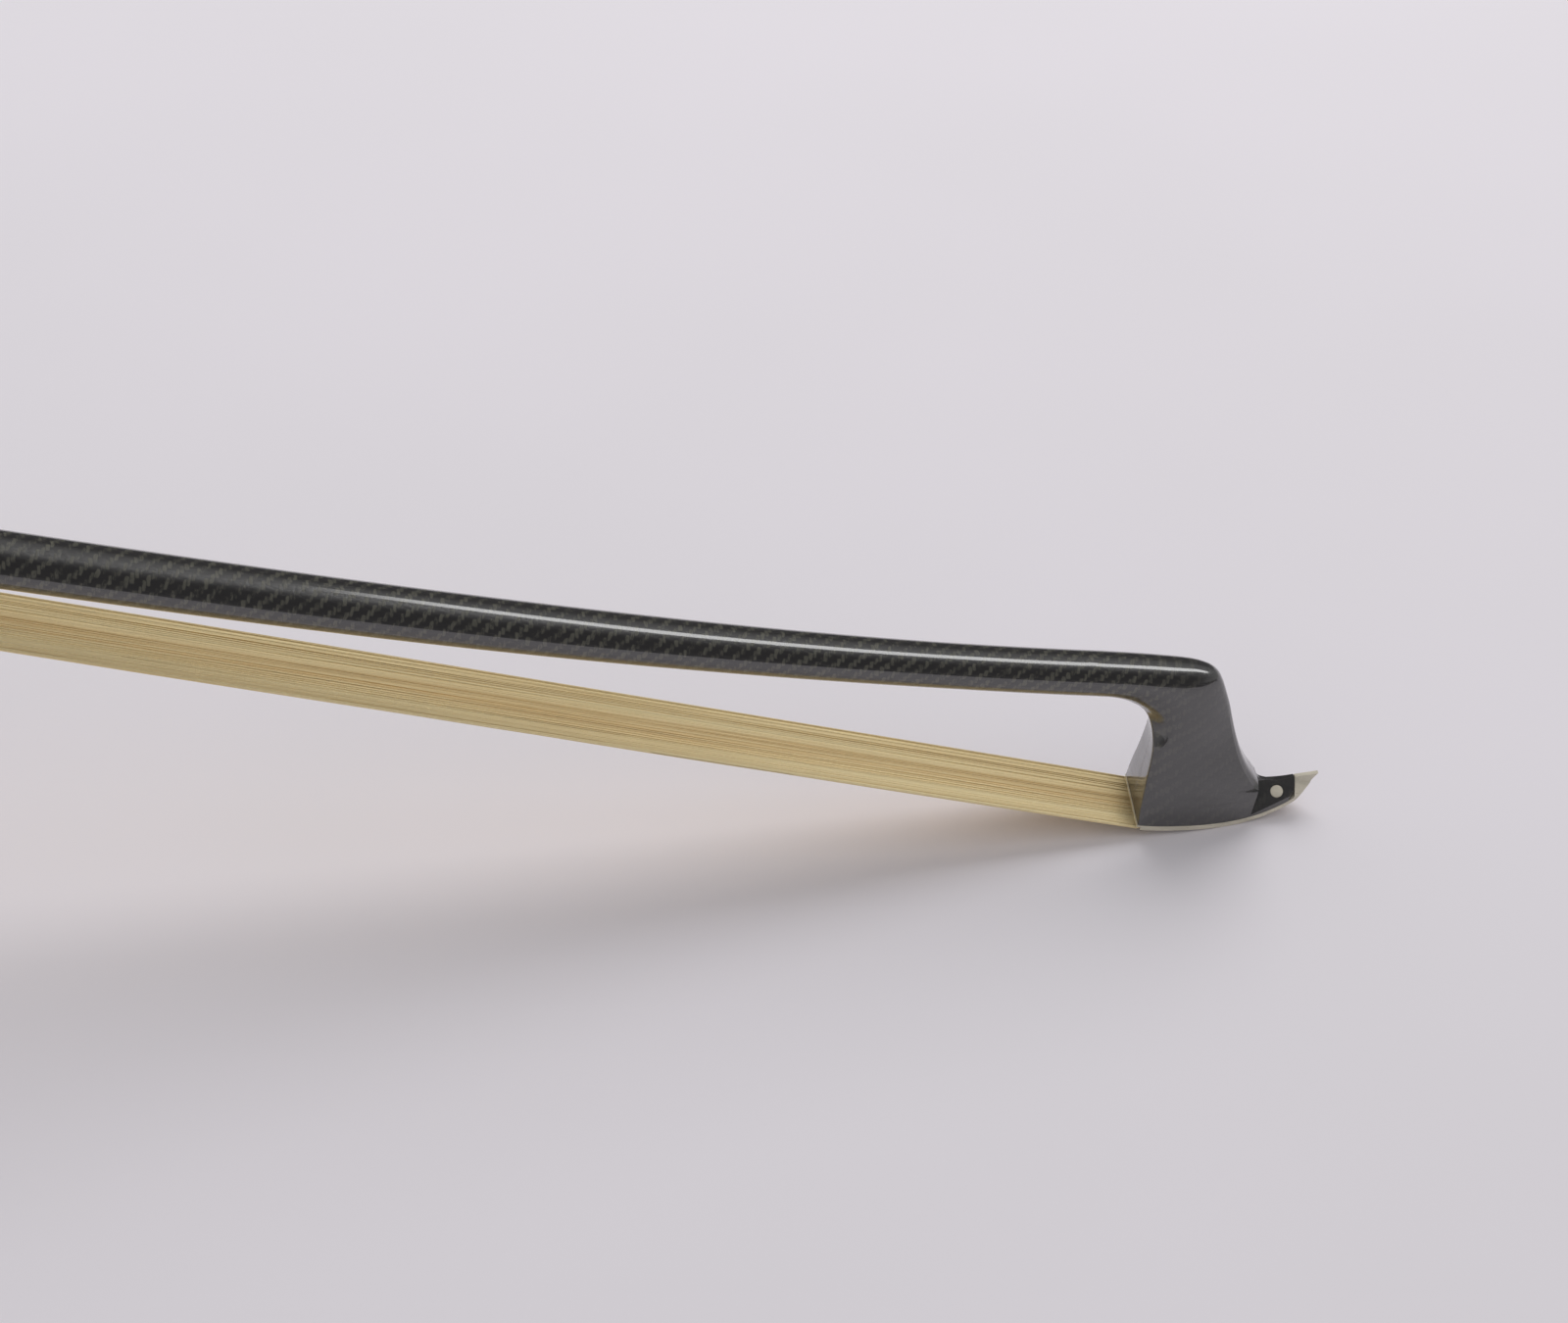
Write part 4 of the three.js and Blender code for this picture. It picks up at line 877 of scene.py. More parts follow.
@dataclass(frozen=True)
class Hair(Finish):
    """Blond horsehair whose strands differ in tone and lie in long bands, with painted shade darkening the
    ribbon's middle.
    """

    slot: str = "hair"
    colour: Triple = (0.8, 0.58, 0.28)
    pale: Triple = (0.96, 0.82, 0.5)

    def surface(self, graph: Graph) -> dict:
        """Mixes the tone of each strand with the bands and with painted shade along the ribbon's middle.

        Args:
            graph: The material's nodes.

        Returns:
            Value or socket for each of the shader's inputs.
        """
        strand = graph.add("ShaderNodeAttribute", attribute_name="tone").outputs["Fac"]
        place = graph.place()
        across = graph.math("SUBTRACT", graph.split(place)[1], 0.0018)
        drift = graph.noise(graph.stretch(place, (1.0, 0.0, 0.0)), 14.0, 1.0)
        # Painted shade: the ribbon's edges are made paler than a wandering line down its middle, as if it
        # sagged into a shallow trough.
        off = graph.math("ABSOLUTE", graph.math("MULTIPLY_ADD", drift, 0.004, across))
        edge = graph.remap(off, 0.0004, 0.0038)
        band = graph.noise(graph.stretch(place, (0.012, 1.0, 0.0)), 330.0)
        patch = graph.noise(graph.stretch(place, (0.12, 1.0, 0.3)), 160.0, 3.0)
        mixed = graph.math("MULTIPLY_ADD", strand, 0.3, graph.times(band, 0.45))
        mixed = graph.math("MULTIPLY_ADD", edge, 0.3, graph.math("MULTIPLY_ADD", patch, 0.3, mixed))
        fine = graph.noise(graph.stretch(place, (0.02, 1.0, 1.0)), 4000.0, 1.0)
        return {
            "Base Color": graph.blend(graph.remap(mixed, 0.2, 1.1), rgba(self.colour), rgba(self.pale)),
            "Roughness": graph.remap(fine, 0.3, 0.7, 0.38, 0.52),
            "Specular IOR Level": 0.4,
        }


@dataclass(frozen=True)
class Wood(Finish):
    """Wood with long grain and open pores, bare or polished."""

    slot: str = "ebony"
    colour: Triple = (0.026, 0.019, 0.015)
    roughness: float = 0.32
    contrast: float = 0.55
    polish: float = 0.35
    streaks: float = 520.0

    def surface(self, graph: Graph) -> dict:
        """Adds streaks, pores and the dull patches of use.

        Args:
            graph: The material's nodes.

        Returns:
            Value or socket for each of the shader's inputs.
        """
        place = graph.place()
        grain = graph.use(Grain(), {"Vector": place, "Streaks": self.streaks, "Pores": 1900.0})
        marks = graph.use(Handling(), {"Vector": place, "Patches": 150.0})
        tones = (rgba(self.colour, 1 - self.contrast), rgba(self.colour, 1 + self.contrast))
        dull = graph.math("MULTIPLY_ADD", marks["Patch"], 0.16, self.roughness - 0.05)
        colour = graph.blend(grain["Streak"], *tones)
        return {
            "Base Color": graph.blend(graph.times(grain["Pore"], 0.6), colour, rgba(self.colour, 0.3)),
            "Roughness": graph.math("MULTIPLY_ADD", grain["Pore"], 0.2, dull),
            "Normal": graph.bump(graph.math("SUBTRACT", 1.0, grain["Pore"]), 0.04, 0.6),
            "Coat Weight": self.polish,
            "Coat Roughness": 0.18,
        }


@dataclass(frozen=True)
class Metal(Finish):
    """Polished or turned metal with fine scratches and dull patches."""

    slot: str = "nickel_silver"
    colour: Triple = (0.66, 0.63, 0.57)
    roughness: float = 0.2

    def surface(self, graph: Graph) -> dict:
        """Adds tarnish to the colour and scratches to the polish.

        Args:
            graph: The material's nodes.

        Returns:
            Value or socket for each of the shader's inputs.
        """
        marks = graph.use(Handling(), {"Vector": graph.place(), "Patches": 180.0, "Scratches": 2200.0})
        rough = graph.math("MULTIPLY_ADD", marks["Patch"], 0.12, self.roughness - 0.04)
        return {
            "Base Color": graph.blend(marks["Patch"], rgba(self.colour, 1.05), rgba(self.colour, 0.78)),
            "Roughness": graph.math("MULTIPLY_ADD", marks["Scratch"], 0.12, rough),
            "Normal": graph.bump(marks["Scratch"], -0.006, 0.5),
            "Metallic": 1.0,
        }


@dataclass(frozen=True)
class Pearl(Finish):
    """Mother of pearl, whose layers drift between cool and warm tints."""

    slot: str = "pearl"
    colour: Triple = (0.72, 0.73, 0.7)
    cool: Triple = (0.56, 0.7, 0.68)
    warm: Triple = (0.82, 0.7, 0.72)

    def surface(self, graph: Graph) -> dict:
        """Folds the tints along wandering layers.

        Args:
            graph: The material's nodes.

        Returns:
            Value or socket for each of the shader's inputs.
        """
        place = graph.place()
        layers = graph.math("SINE", graph.times(graph.noise(place, 140.0, 3.0, 0.6), 46.0))
        share = graph.remap(layers, -1.0, 1.0)
        tint = graph.blend(share, rgba(self.cool), rgba(self.warm))
        pale = graph.noise(graph.stretch(place, (1.0, 2.0, 1.0)), 420.0)
        return {
            "Base Color": graph.blend(graph.remap(pale, 0.35, 0.65, 0.25, 0.8), tint, rgba(self.colour)),
            "Metallic": graph.remap(layers, 0.2, 1.0, 0.05, 0.35),
            "Normal": graph.bump(share, 0.01, 0.3),
            "Roughness": 0.16,
            "Coat Weight": 0.6,
            "Coat Roughness": 0.08,
        }


@dataclass(frozen=True)
class Leather(Finish):
    """Black grained leather, rubbed paler where the thumb holds it."""

    slot: str = "leather"
    colour: Triple = (0.022, 0.017, 0.014)

    def surface(self, graph: Graph) -> dict:
        """Adds pebbled grain, creases and rubbed patches.

        Args:
            graph: The material's nodes.

        Returns:
            Value or socket for each of the shader's inputs.
        """
        place = graph.place()
        inputs = {"Vector": place, "Scale": 1500.0}
        cells = graph.add("ShaderNodeTexVoronoi", inputs, feature="DISTANCE_TO_EDGE").outputs[0]
        pebble = graph.remap(cells, 0.0, 0.28)
        crease = graph.noise(place, 700.0, 4.0, 0.65)
        marks = graph.use(Handling(), {"Vector": place, "Patches": 130.0})
        worn = graph.times(pebble, graph.math("MULTIPLY_ADD", marks["Patch"], 0.6, 0.25))
        return {
            "Base Color": graph.blend(worn, rgba(self.colour, 0.6), rgba(self.colour, 1.9)),
            "Roughness": graph.remap(worn, 0.0, 0.8, 0.62, 0.42),
            "Normal": graph.bump(graph.math("MULTIPLY_ADD", crease, 0.5, pebble), 0.09, 0.8),
        }


@dataclass(frozen=True)
class Winding(Finish):
    """A flat dark strip with fine ridges along it."""

    slot: str = "winding"
    colour: Triple = (0.045, 0.032, 0.024)

    def surface(self, graph: Graph) -> dict:
        """Adds fine lines along the strip and scattered paler patches.

        Args:
            graph: The material's nodes.

        Returns:
            Value or socket for each of the shader's inputs.
        """
        laid = graph.add("ShaderNodeUVMap", uv_map="strip").outputs[0]
        line = graph.noise(graph.stretch(laid, (0.06, 5.0, 1.0)), 1.0, 2.0, 0.6)
        marks = graph.use(Handling(), {"Vector": graph.place(), "Patches": 240.0})
        pale = rgba(self.colour, 1.8)
        colour = graph.blend(graph.remap(line, 0.3, 0.7), rgba(self.colour, 0.55), pale)
        return {
            "Base Color": graph.blend(graph.times(marks["Patch"], 0.3), colour, pale),
            "Roughness": graph.remap(line, 0.3, 0.7, 0.3, 0.46),
            "Normal": graph.bump(line, 0.05, 0.6),
        }


class Finishes(Enum):
    """Every finish on the bow."""

    CARBON = Carbon()
    BONE = Bone()
    HAIR = Hair()
    EBONY = Wood()
    BOXWOOD = Wood("boxwood", (0.42, 0.26, 0.12), 0.55, 0.28, 0.0, 420.0)
    NICKEL = Metal()
    BRASS = Metal("brass", (0.6, 0.42, 0.18), 0.28)
    STEEL = Metal("steel", (0.45, 0.45, 0.46), 0.3)
    PEARL = Pearl()
    LEATHER = Leather()
    WINDING = Winding()


def dress(piece: Thing, finish: Finishes) -> None:
    """Gives a piece or a CAD node its finish."""
    piece.data.materials.clear()
    piece.data.materials.append(finish.value.material())


def hand_over(piece: Thing, finish: Finishes, body: str, node: str) -> None:
    """Dresses a piece, sets it on its body and says which CAD node it stands for.

    Args:
        piece: The finished piece.
        finish: Its finish.
        body: The body that it rides on, or nothing where it blends.
        node: The CAD node that it replaces.
    """
    dress(piece, finish)
    if body:
        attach(piece, body)
    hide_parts(node)
    log.info("%s: %d faces, for %s", piece.name, len(piece.data.polygons), node)


# The head and the stick


def round_half(half: list[float]) -> list[float]:
    """Goes on from one side of a ring, given as shares of the half turn, round its other side."""
    return half + [2 - share for share in reversed(half[1:-1])]


@dataclass(frozen=True)
class HeadShape:
    """The form of the bow's head, as sections that fan from its sole up to the stick.

    Attributes:
        rows: Each section's shares: x and z where its rear lies, x and z where its front lies, its
            sag, its half width at the rear, where widest and at the front, how long it stays wide,
            and how square it is. Along the bow they are shares of nose_reach, upwards of height.
    """

    height: float = 25.2
    width: float = 12.2
    nose_reach: float = 22.4
    nose_rise: float = 6.4
    sole_rise: float = 2.8
    seat: float = 0.93
    sole_power: float = 4.5
    corner: float = 0.28
    round_near: float = 0.06
    round_far: float = 0.35
    nose_round: float = 0.35
    facet_x: float = 17.0
    facet_start: float = 16.55
    facet_rise: float = 3.2
    facet_half: float = 3.95
    facet_spread: float = 0.317
    facet_lean: float = 0.929
    ridge_half: float = 0.35
    rows: tuple = (
        (0, 0, 1, 0.254, 1, 0.99, 1, 0.36, 1.6, 1),
        (-0.005, 0.04, 0.996, 0.298, 0.85, 0.945, 0.967, 0.334, 1.6, 1),
        (-0.011, 0.079, 0.98, 0.347, 0.7, 0.9, 0.935, 0.315, 1.6, 1),
        (-0.015, 0.127, 0.926, 0.313, 0.5, 0.85, 0.893, 0.36, 1.8, 1),
        (-0.019, 0.175, 0.855, 0.296, 0.35, 0.8, 0.852, 0.42, 2, 1),
        (-0.023, 0.238, 0.776, 0.299, 0.2, 0.73, 0.796, 0.44, 2.6, 1),
        (-0.029, 0.317, 0.683, 0.361, 0.1, 0.65, 0.724, 0.42, 3, 1),
        (-0.036, 0.397, 0.603, 0.437, 0, 0.585, 0.65, 0.38, 2.8, 1),
        (-0.049, 0.476, 0.536, 0.52, 0, 0.492, 0.6, 0.32, 2.3, 1),
        (-0.074, 0.552, 0.478, 0.607, 0, 0.287, 0.574, 0.26, 2, 0.95),
        (-0.118, 0.615, 0.429, 0.69, 0, 0.098, 0.557, 0.22, 2.1, 0.85),
        (-0.17, 0.653, 0.378, 0.781, 0, 0.049, 0.549, 0.18, 2.2, 0.68),
        (-0.223, 0.677, 0.318, 0.872, 0, 0.049, 0.544, 0.18, 2.3, 0.5),
        (-0.255, 0.685, 0.276, 0.93, 0, 0.049, 0.543, 0.18, 2.3, 0.42),
        (-0.285, 0.692, 0.228, 0.977, 0, 0.049, 0.541, 0.18, 2.4, 0.34),
        (-0.315, 0.697, 0.163, 1.004, 0, 0.049, 0.54, 0.18, 2.4, 0.26),
        (-0.348, 0.702, 0.072, 1.013, 0, 0.049, 0.538, 0.18, 2.4, 0.18),
        (-0.42, 0.706, -0.147, 0.998, 0, 0.049, 0.534, 0.18, 2.4, 0.08),
    )

    def sole_height(self, x: float) -> float:
        """Height of the sole, where the plate lies."""
        share = max(x, 0) / self.nose_reach
        return self.seat + self.sole_rise * share + (self.nose_rise - self.sole_rise) * share**self.sole_power

    def round_end(self, rear: float, widest: float) -> float:
        """Share of a section's length over which its rear swells to its widest."""
        return self.round_near + self.round_far * (1 - rear / widest)

    def half_share(self, share: float, rear: float, widest: float, front: float, power: float) -> float:
        """Gives the half width of a section, as a share of the head's.

        Args:
            share: The place, as a share of the section's length.
            rear: Half width at its rear.
            widest: Half width at its widest.
            front: Half width at its front.
            power: How long it stays wide towards its front.

        Returns:
            The half width.
        """
        end = self.round_end(rear, widest)
        if share < end:
            return rear + (widest - rear) * math.sin(math.pi / 2 * share / end)
        return front + (widest - front) * (1 - ((share - end) / (1 - end)) ** power)

    def sole_half(self, x: float) -> float:
        """Half width of the sole."""
        return self.width / 2 * self.half_share(clamp(x / self.nose_reach), *self.rows[0][5:9])

    def facet(self, x: float, z: float) -> float:
        """Gives the half width that the leaning facets leave of the nose.

        Args:
            x: A place along the bow, from the heel of the head.
            z: Its height.

        Returns:
            The half width.
        """
        lean = self.facet_lean * (z - self.seat - self.facet_rise)
        return self.facet_half + self.facet_spread * (x - self.facet_x) - lean

    def side(self, row: np.ndarray, length: float) -> list[Triple]:
        """Draws one side of a squared section, from the middle of its rear to the middle of its front.

        Args:
            row: The section's row of shares.
            length: Its length.

        Returns:
            For each point its share of the half turn, its way along and its half width.
        """
        rear, widest, front, power = row[5:9]
        half = self.width / 2
        end = self.round_end(rear, widest)
        r = min(self.corner, 0.5 * rear * half)
        part = 1 / 12
        flat, met = rear * half - r, r / length

        def across(h: float) -> float:
            """Share of the half turn for a half width on the rear face."""
            share = h / (rear * half)
            return part * (share / 0.9 if share < 0.45 else 0.5 + (share - 0.45) / 0.55)

        def cheek(share: float) -> float:
            """Finds the share of the half turn for a place along the cheek.

            Args:
                share: The place, as a share of the section's length.

            Returns:
                The share of the half turn.
            """
            if share < end:
                q = share / end
                return part * (1.5 + q / 0.45 if q < 0.45 else 2.5 + (q - 0.45) / 0.55)
            return part * (3.5 + 7 * (share - end) / (1 - end))

        def skin(share: float) -> float:
            """Half width at a place along the cheek."""
            return half * self.half_share(share, rear, widest, front, power)

        points = [(across(flat * k / 4), 0.0, flat * k / 4) for k in (1, 2, 3, 4)]
        bend = fillet((0.0, flat), (0.0, rear * half), (r, skin(met)), 6)[1:]
        points += [
            (lerp(across(flat), cheek(met), k / 5), along, wide) for k, (along, wide) in enumerate(bend, 1)
        ]
        for share in (lerp(met, end, k / 8) for k in range(1, 9)):
            points.append((cheek(share), share * length, skin(share)))
        reach = 1 - self.nose_round * front * self.width / 2 / length
        for share in (lerp(end, reach, k / 24) for k in range(1, 25)):
            turn = cheek(end + (share - end) * (1 - end) / (reach - end))
            points.append((turn, share * length, skin(share)))
        wide = front * half
        bend = fillet((reach * length, wide), (length, wide), (length, wide * self.nose_round), 5)[1:]
        points += [(part * (10.5 + k / 4), along, out) for k, (along, out) in enumerate(bend, 1)]
        points += [(part * (11.5 + s / 2), length, wide * self.nose_round * (1 - s)) for s in (1 / 3, 2 / 3)]
        return points

    def section(self, row: np.ndarray) -> tuple[np.ndarray, list[float]]:
        """Makes the ring of one section.

        Args:
            row: Its shares, as in rows.

        Returns:
            The ring from the rear round one side and back along the other, and the share of the
            half turn at each point of the first side.
        """
        rear_x, rear_z, front_x, front_z, sag, _, widest, _, _, square = row
        start = np.array((rear_x * self.nose_reach, self.seat + rear_z * self.height))
        end = np.array((front_x * self.nose_reach, self.seat + front_z * self.height))
        length = float(np.linalg.norm(end - start))
        drop = sag * (self.nose_rise - self.sole_rise)
        side = [(0.0, 0.0, 0.0), *self.side(row, length), (1.0, length, 0.0)]
        ring, turns = [], []
        for turn, along, half in side:
            share = lerp((1 - math.cos(math.pi * turn)) / 2, along / length, square)
            y = lerp(self.width / 2 * widest * math.sin(math.pi * turn), half, square)
            x, z = start + (end - start) * share
            ring.append((x, y, z - drop * (share - share**self.sole_power)))
            turns.append(turn)
        other = [(x, -y, z) for x, y, z in reversed(ring[1:-1])]
        return np.array(ring + other), turns


class StickMaker:
    """The moulded stick with its head, bored for the screw and cut for the eyelet, the hair and the pins."""

    @dataclass(frozen=True)
    class Sizes:
        """What the stick is cut for, in millimetres."""

        head_rows: int = 116
        join: tuple[float, ...] = (-11.5, -14.0, -17.0)
        spread_x: float = -62.0
        pitch: float = 3.6
        braid_girth: float = 20.4
        braid_flat: Span = (-14.0, -4.0)
        butt: float = 59.0
        edge: float = 0.3
        nipple_length: float = 2.4
        nipple_radius: float = 3.2
        bore_radius: float = 1.9
        bore_front: float = -8.0
        past: float = 2.0
        slot_x: Span = (-38.7, -24.5)
        slot_half: float = 2.8
        slot_height: Span = (-10.0, 3.4)
        mortise_x: Span = (5.0, 11.4)
        mortise_top_x: Span = (5.0, 10.2)
        mortise_half: Span = (4.0, 2.2)
        mortise_depth: float = 5.2
        mortise_under: float = -0.4
        facet_height: Span = (-4.0, 20.0)
        facet_front: float = 28.0
        facet_wide: float = 24.0

    def __init__(self, layout: Layout, head: HeadShape) -> None:
        """Takes the bow's layout and the shape of its head."""
        self.layout, self.head, self.sizes = layout, head, StickMaker.Sizes()

    def stick_row(self, x: float) -> tuple:
        """Describes a round section of the stick in the head's own shares.

        Args:
            x: Its place along the bow, from the heel of the head.

        Returns:
            The row of shares.
        """
        head, layout = self.head, self.layout
        half, slope = layout.half(x), math.atan(layout.axis_slope(x))
        dx, dz = half * math.sin(slope), half * math.cos(slope)
        z = layout.axis_height(x) - head.seat
        return (
            (x + dx) / head.nose_reach, (z - dz) / head.height,
            (x - dx) / head.nose_reach, (z + dz) / head.height,
            0.0, 0.049, half / (head.width / 2), 0.18, 2.4, 0.0,
        )

    def head_sections(self) -> tuple[list[np.ndarray], list[float]]:
        """Fills the rows of the head with smooth sections between them.

        Returns:
            The rings from the stick down to the sole in the frame, and the turn shares of the first.
        """
        rows = np.array([*self.head.rows, *(self.stick_row(x) for x in self.sizes.join)], float)
        ends = rows[:, :4].copy()
        ends[:, (0, 2)] *= self.head.nose_reach
        ends[:, (1, 3)] *= self.head.height
        moves = np.diff(ends, axis=0)
        steps = np.hypot(moves[:, 0], moves[:, 1]) + np.hypot(moves[:, 2], moves[:, 3])
        places = np.concatenate([[0], np.cumsum(steps)])
        dense = smooth_curve(places, rows, np.linspace(0, places[-1], self.sizes.head_rows))
        made = [self.head.section(row) for row in reversed(dense)]
        return [ring + (self.layout.heel_x, 0, 0) for ring, _ in made], made[0][1]

    def skin(self) -> Thing:
        """Makes the whole outer skin, closed at both ends.

        Returns:
            The uncut stick.
        """
        layout, sizes = self.layout, self.sizes
        head_rings, turns = self.head_sections()
        half_count = len(turns) - 1
        even = [k / half_count for k in range(half_count + 1)]
        butt_x = layout.on_handle(-sizes.butt)[0] - layout.heel_x
        last_x = sizes.join[-1]
        count = round((last_x - butt_x) / sizes.pitch)
        end = -sizes.butt - sizes.nipple_length
        rings = []
        for place, inset in ((end, sizes.edge), (end + sizes.edge, 0.0), (-sizes.butt, 0.0)):
            x, radius = layout.on_handle(place)[0] - layout.heel_x, sizes.nipple_radius - inset
            rings.append(np.array([layout.on_stick(x, math.pi * a, radius) for a in round_half(even)]))
        places = [butt_x, butt_x + sizes.edge, *(lerp(butt_x, last_x, k / count) for k in range(1, count))]
        for x in places:
            share = smoothstep(x, sizes.spread_x, last_x)
            inset = sizes.edge if x == butt_x else 0.0
            angles = [math.pi * a for a in round_half([lerp(a, b, share) for a, b in zip(even, turns)])]
            rings.append(np.array([layout.on_stick(x, a, layout.radius(x, a) - inset) for a in angles]))
        return make_piece("carbon_stick", *rings_mesh([*rings, *head_rings], Ends.STRIPS), crease=34.0)

    def lay_braid(self, piece: Thing) -> None:
        """Lays the braid's coordinates on the finished skin, round the stick and flat over the cheeks.

        Args:
            piece: The finished stick.
        """
        layout, girth = self.layout, self.sizes.braid_girth
        mesh = piece.data
        layer = mesh.uv_layers.new(name="braid")
        points = np.empty(len(mesh.vertices) * 3)
        mesh.vertices.foreach_get("co", points)
        points = points.reshape(-1, 3) / MM - (layout.heel_x, 0, 0)
        laid = np.empty((len(points), 2))
        for i, (x, y, z) in enumerate(points):
            axis = layout.axis_height(min(x, 0.0))
            around = math.atan2(abs(y), axis - z)
            flat = math.pi / 2 + (z - axis) * TAU / girth
            share = smoothstep(x, *self.sizes.braid_flat)
            turn = lerp(around, flat, share) * girth / TAU
            laid[i] = (x, turn if y >= 0 else girth - turn)
        values = laid[loop_points(mesh)]
        for face in mesh.polygons:
            part = values[face.loop_start:face.loop_start + face.loop_total]
            if np.ptp(part[:, 1]) > girth / 2:
                part[part[:, 1] < girth / 2, 1] += girth
        layer.data.foreach_set("uv", values.astype(np.float32).ravel())

    def cutters(self) -> list[Thing]:
        """Makes the bodies that are cut out of the stick.

        Returns:
            The bore, the eyelet's slot, the hair's mortise, the facets and the holes of the pins.
        """
        layout, head, sizes = self.layout, self.head, self.sizes
        rear = -sizes.butt - sizes.nipple_length - sizes.past
        bore = rod("bore_cut", sizes.bore_radius, layout.on_handle(rear), layout.on_handle(sizes.bore_front))
        outline = bar_corners(sizes.slot_half, *sizes.slot_height)
        slot = block("slot_cut", [layout.on_handle(x, y, z) for x in sizes.slot_x for y, z in outline])
        corners = []
        for share, near in ((sizes.mortise_under, sizes.mortise_x[0]), (1.0, sizes.mortise_top_x[0])):
            half = lerp(*sizes.mortise_half, share)
            far = lerp(sizes.mortise_x[1], sizes.mortise_top_x[1], share)
            z = head.seat + sizes.mortise_depth * share
            outline = ((near, -half), (far, -half), (far, half), (near, half))
            corners += [layout.place(x, y, z) for x, y in outline]
        mortise = block("mortise_cut", corners)
        pins = [NosePin(layout, head, side).hole() for side in (1, -1)]
        return [bore, slot, mortise, *(self.facet_cutter(side) for side in (1, -1)), *pins]

    def facet_cutter(self, side: int) -> Thing:
        """Makes the body that planes one side of the nose back to its facet.

        Args:
            side: 1 for the side towards +Y, or -1.

        Returns:
            The closed body.
        """
        head, sizes = self.head, self.sizes
        (low, high), wide = sizes.facet_height, sizes.facet_wide
        rings = []
        for x in (head.facet_start, sizes.facet_front):
            spread = head.facet_half + head.facet_spread * (x - head.facet_x) - head.ridge_half
            turn_z = head.seat + head.facet_rise + spread / head.facet_lean
            outline = [
                (head.facet(x, low), low), (head.ridge_half, turn_z), (head.ridge_half, high),
                (wide, high), (wide, low),
            ]
            rings.append(np.array([self.layout.place(x, side * y, z) for y, z in outline]))
        return make_piece("facet_cut", *rings_mesh(rings))

    def build(self) -> None:
        """Builds, cuts and dresses the stick."""
        piece = self.skin()
        carve(piece, self.cutters())
        tidy_mesh(piece, 24.0)
        self.lay_braid(piece)
        hand_over(piece, Finishes.CARBON, "stick", "stick")


class NosePin:
    """A pale pin let into one facet of the nose, square to it."""

    @dataclass(frozen=True)
    class Sizes:
        """The pin's own sizes, in millimetres."""

        radius: float = 0.92
        reach: float = 19.8
        rise: float = 6.66
        depth: float = 0.8
        gap: float = 0.05
        clear: float = 1.5
        sides: int = 40
        profile: tuple = (
            (0.9, -0.8), (1.0, -0.72), (1.0, -0.06), (0.96, 0.0), (0.8, 0.025), (0.5, 0.0425), (0.2, 0.05),
        )

    def __init__(self, layout: Layout, head: HeadShape, side: int) -> None:
        """Takes the layout, the head and the side: 1 for +Y, or -1."""
        self.layout, self.head, self.side, self.sizes = layout, head, side, NosePin.Sizes()

    def foot(self) -> np.ndarray:
        """Where the pin's middle meets the facet."""
        z = self.head.seat + self.sizes.rise
        return self.layout.place(self.sizes.reach, self.side * self.head.facet(self.sizes.reach, z), z)

    def outward(self) -> np.ndarray:
        """The facet's direction outwards."""
        out = np.array((-self.head.facet_spread, self.side, self.head.facet_lean))
        return out / np.linalg.norm(out)

    def hole(self) -> Thing:
        """Makes the body that bores the pin's hole.

        Returns:
            The rod.
        """
        size, out, foot = self.sizes, self.outward(), self.foot()
        inner, outer = foot - out * (size.depth + size.gap), foot + out * size.clear
        return rod("pin_cut", size.radius + size.gap, inner, outer)

    def build(self) -> None:
        """Builds the pin with a low crown."""
        size, out, foot = self.sizes, self.outward(), self.foot()
        rings = [
            foot + out * rise + circle(out, (1.0, 0.0, 0.0), size.radius * share, size.sides)
            for share, rise in size.profile
        ]
        name = "left" if self.side > 0 else "right"
        piece = make_piece(f"pin_{name}", *rings_mesh(rings))
        hand_over(piece, Finishes.BONE, "stick", f"nose_pin_{name}")


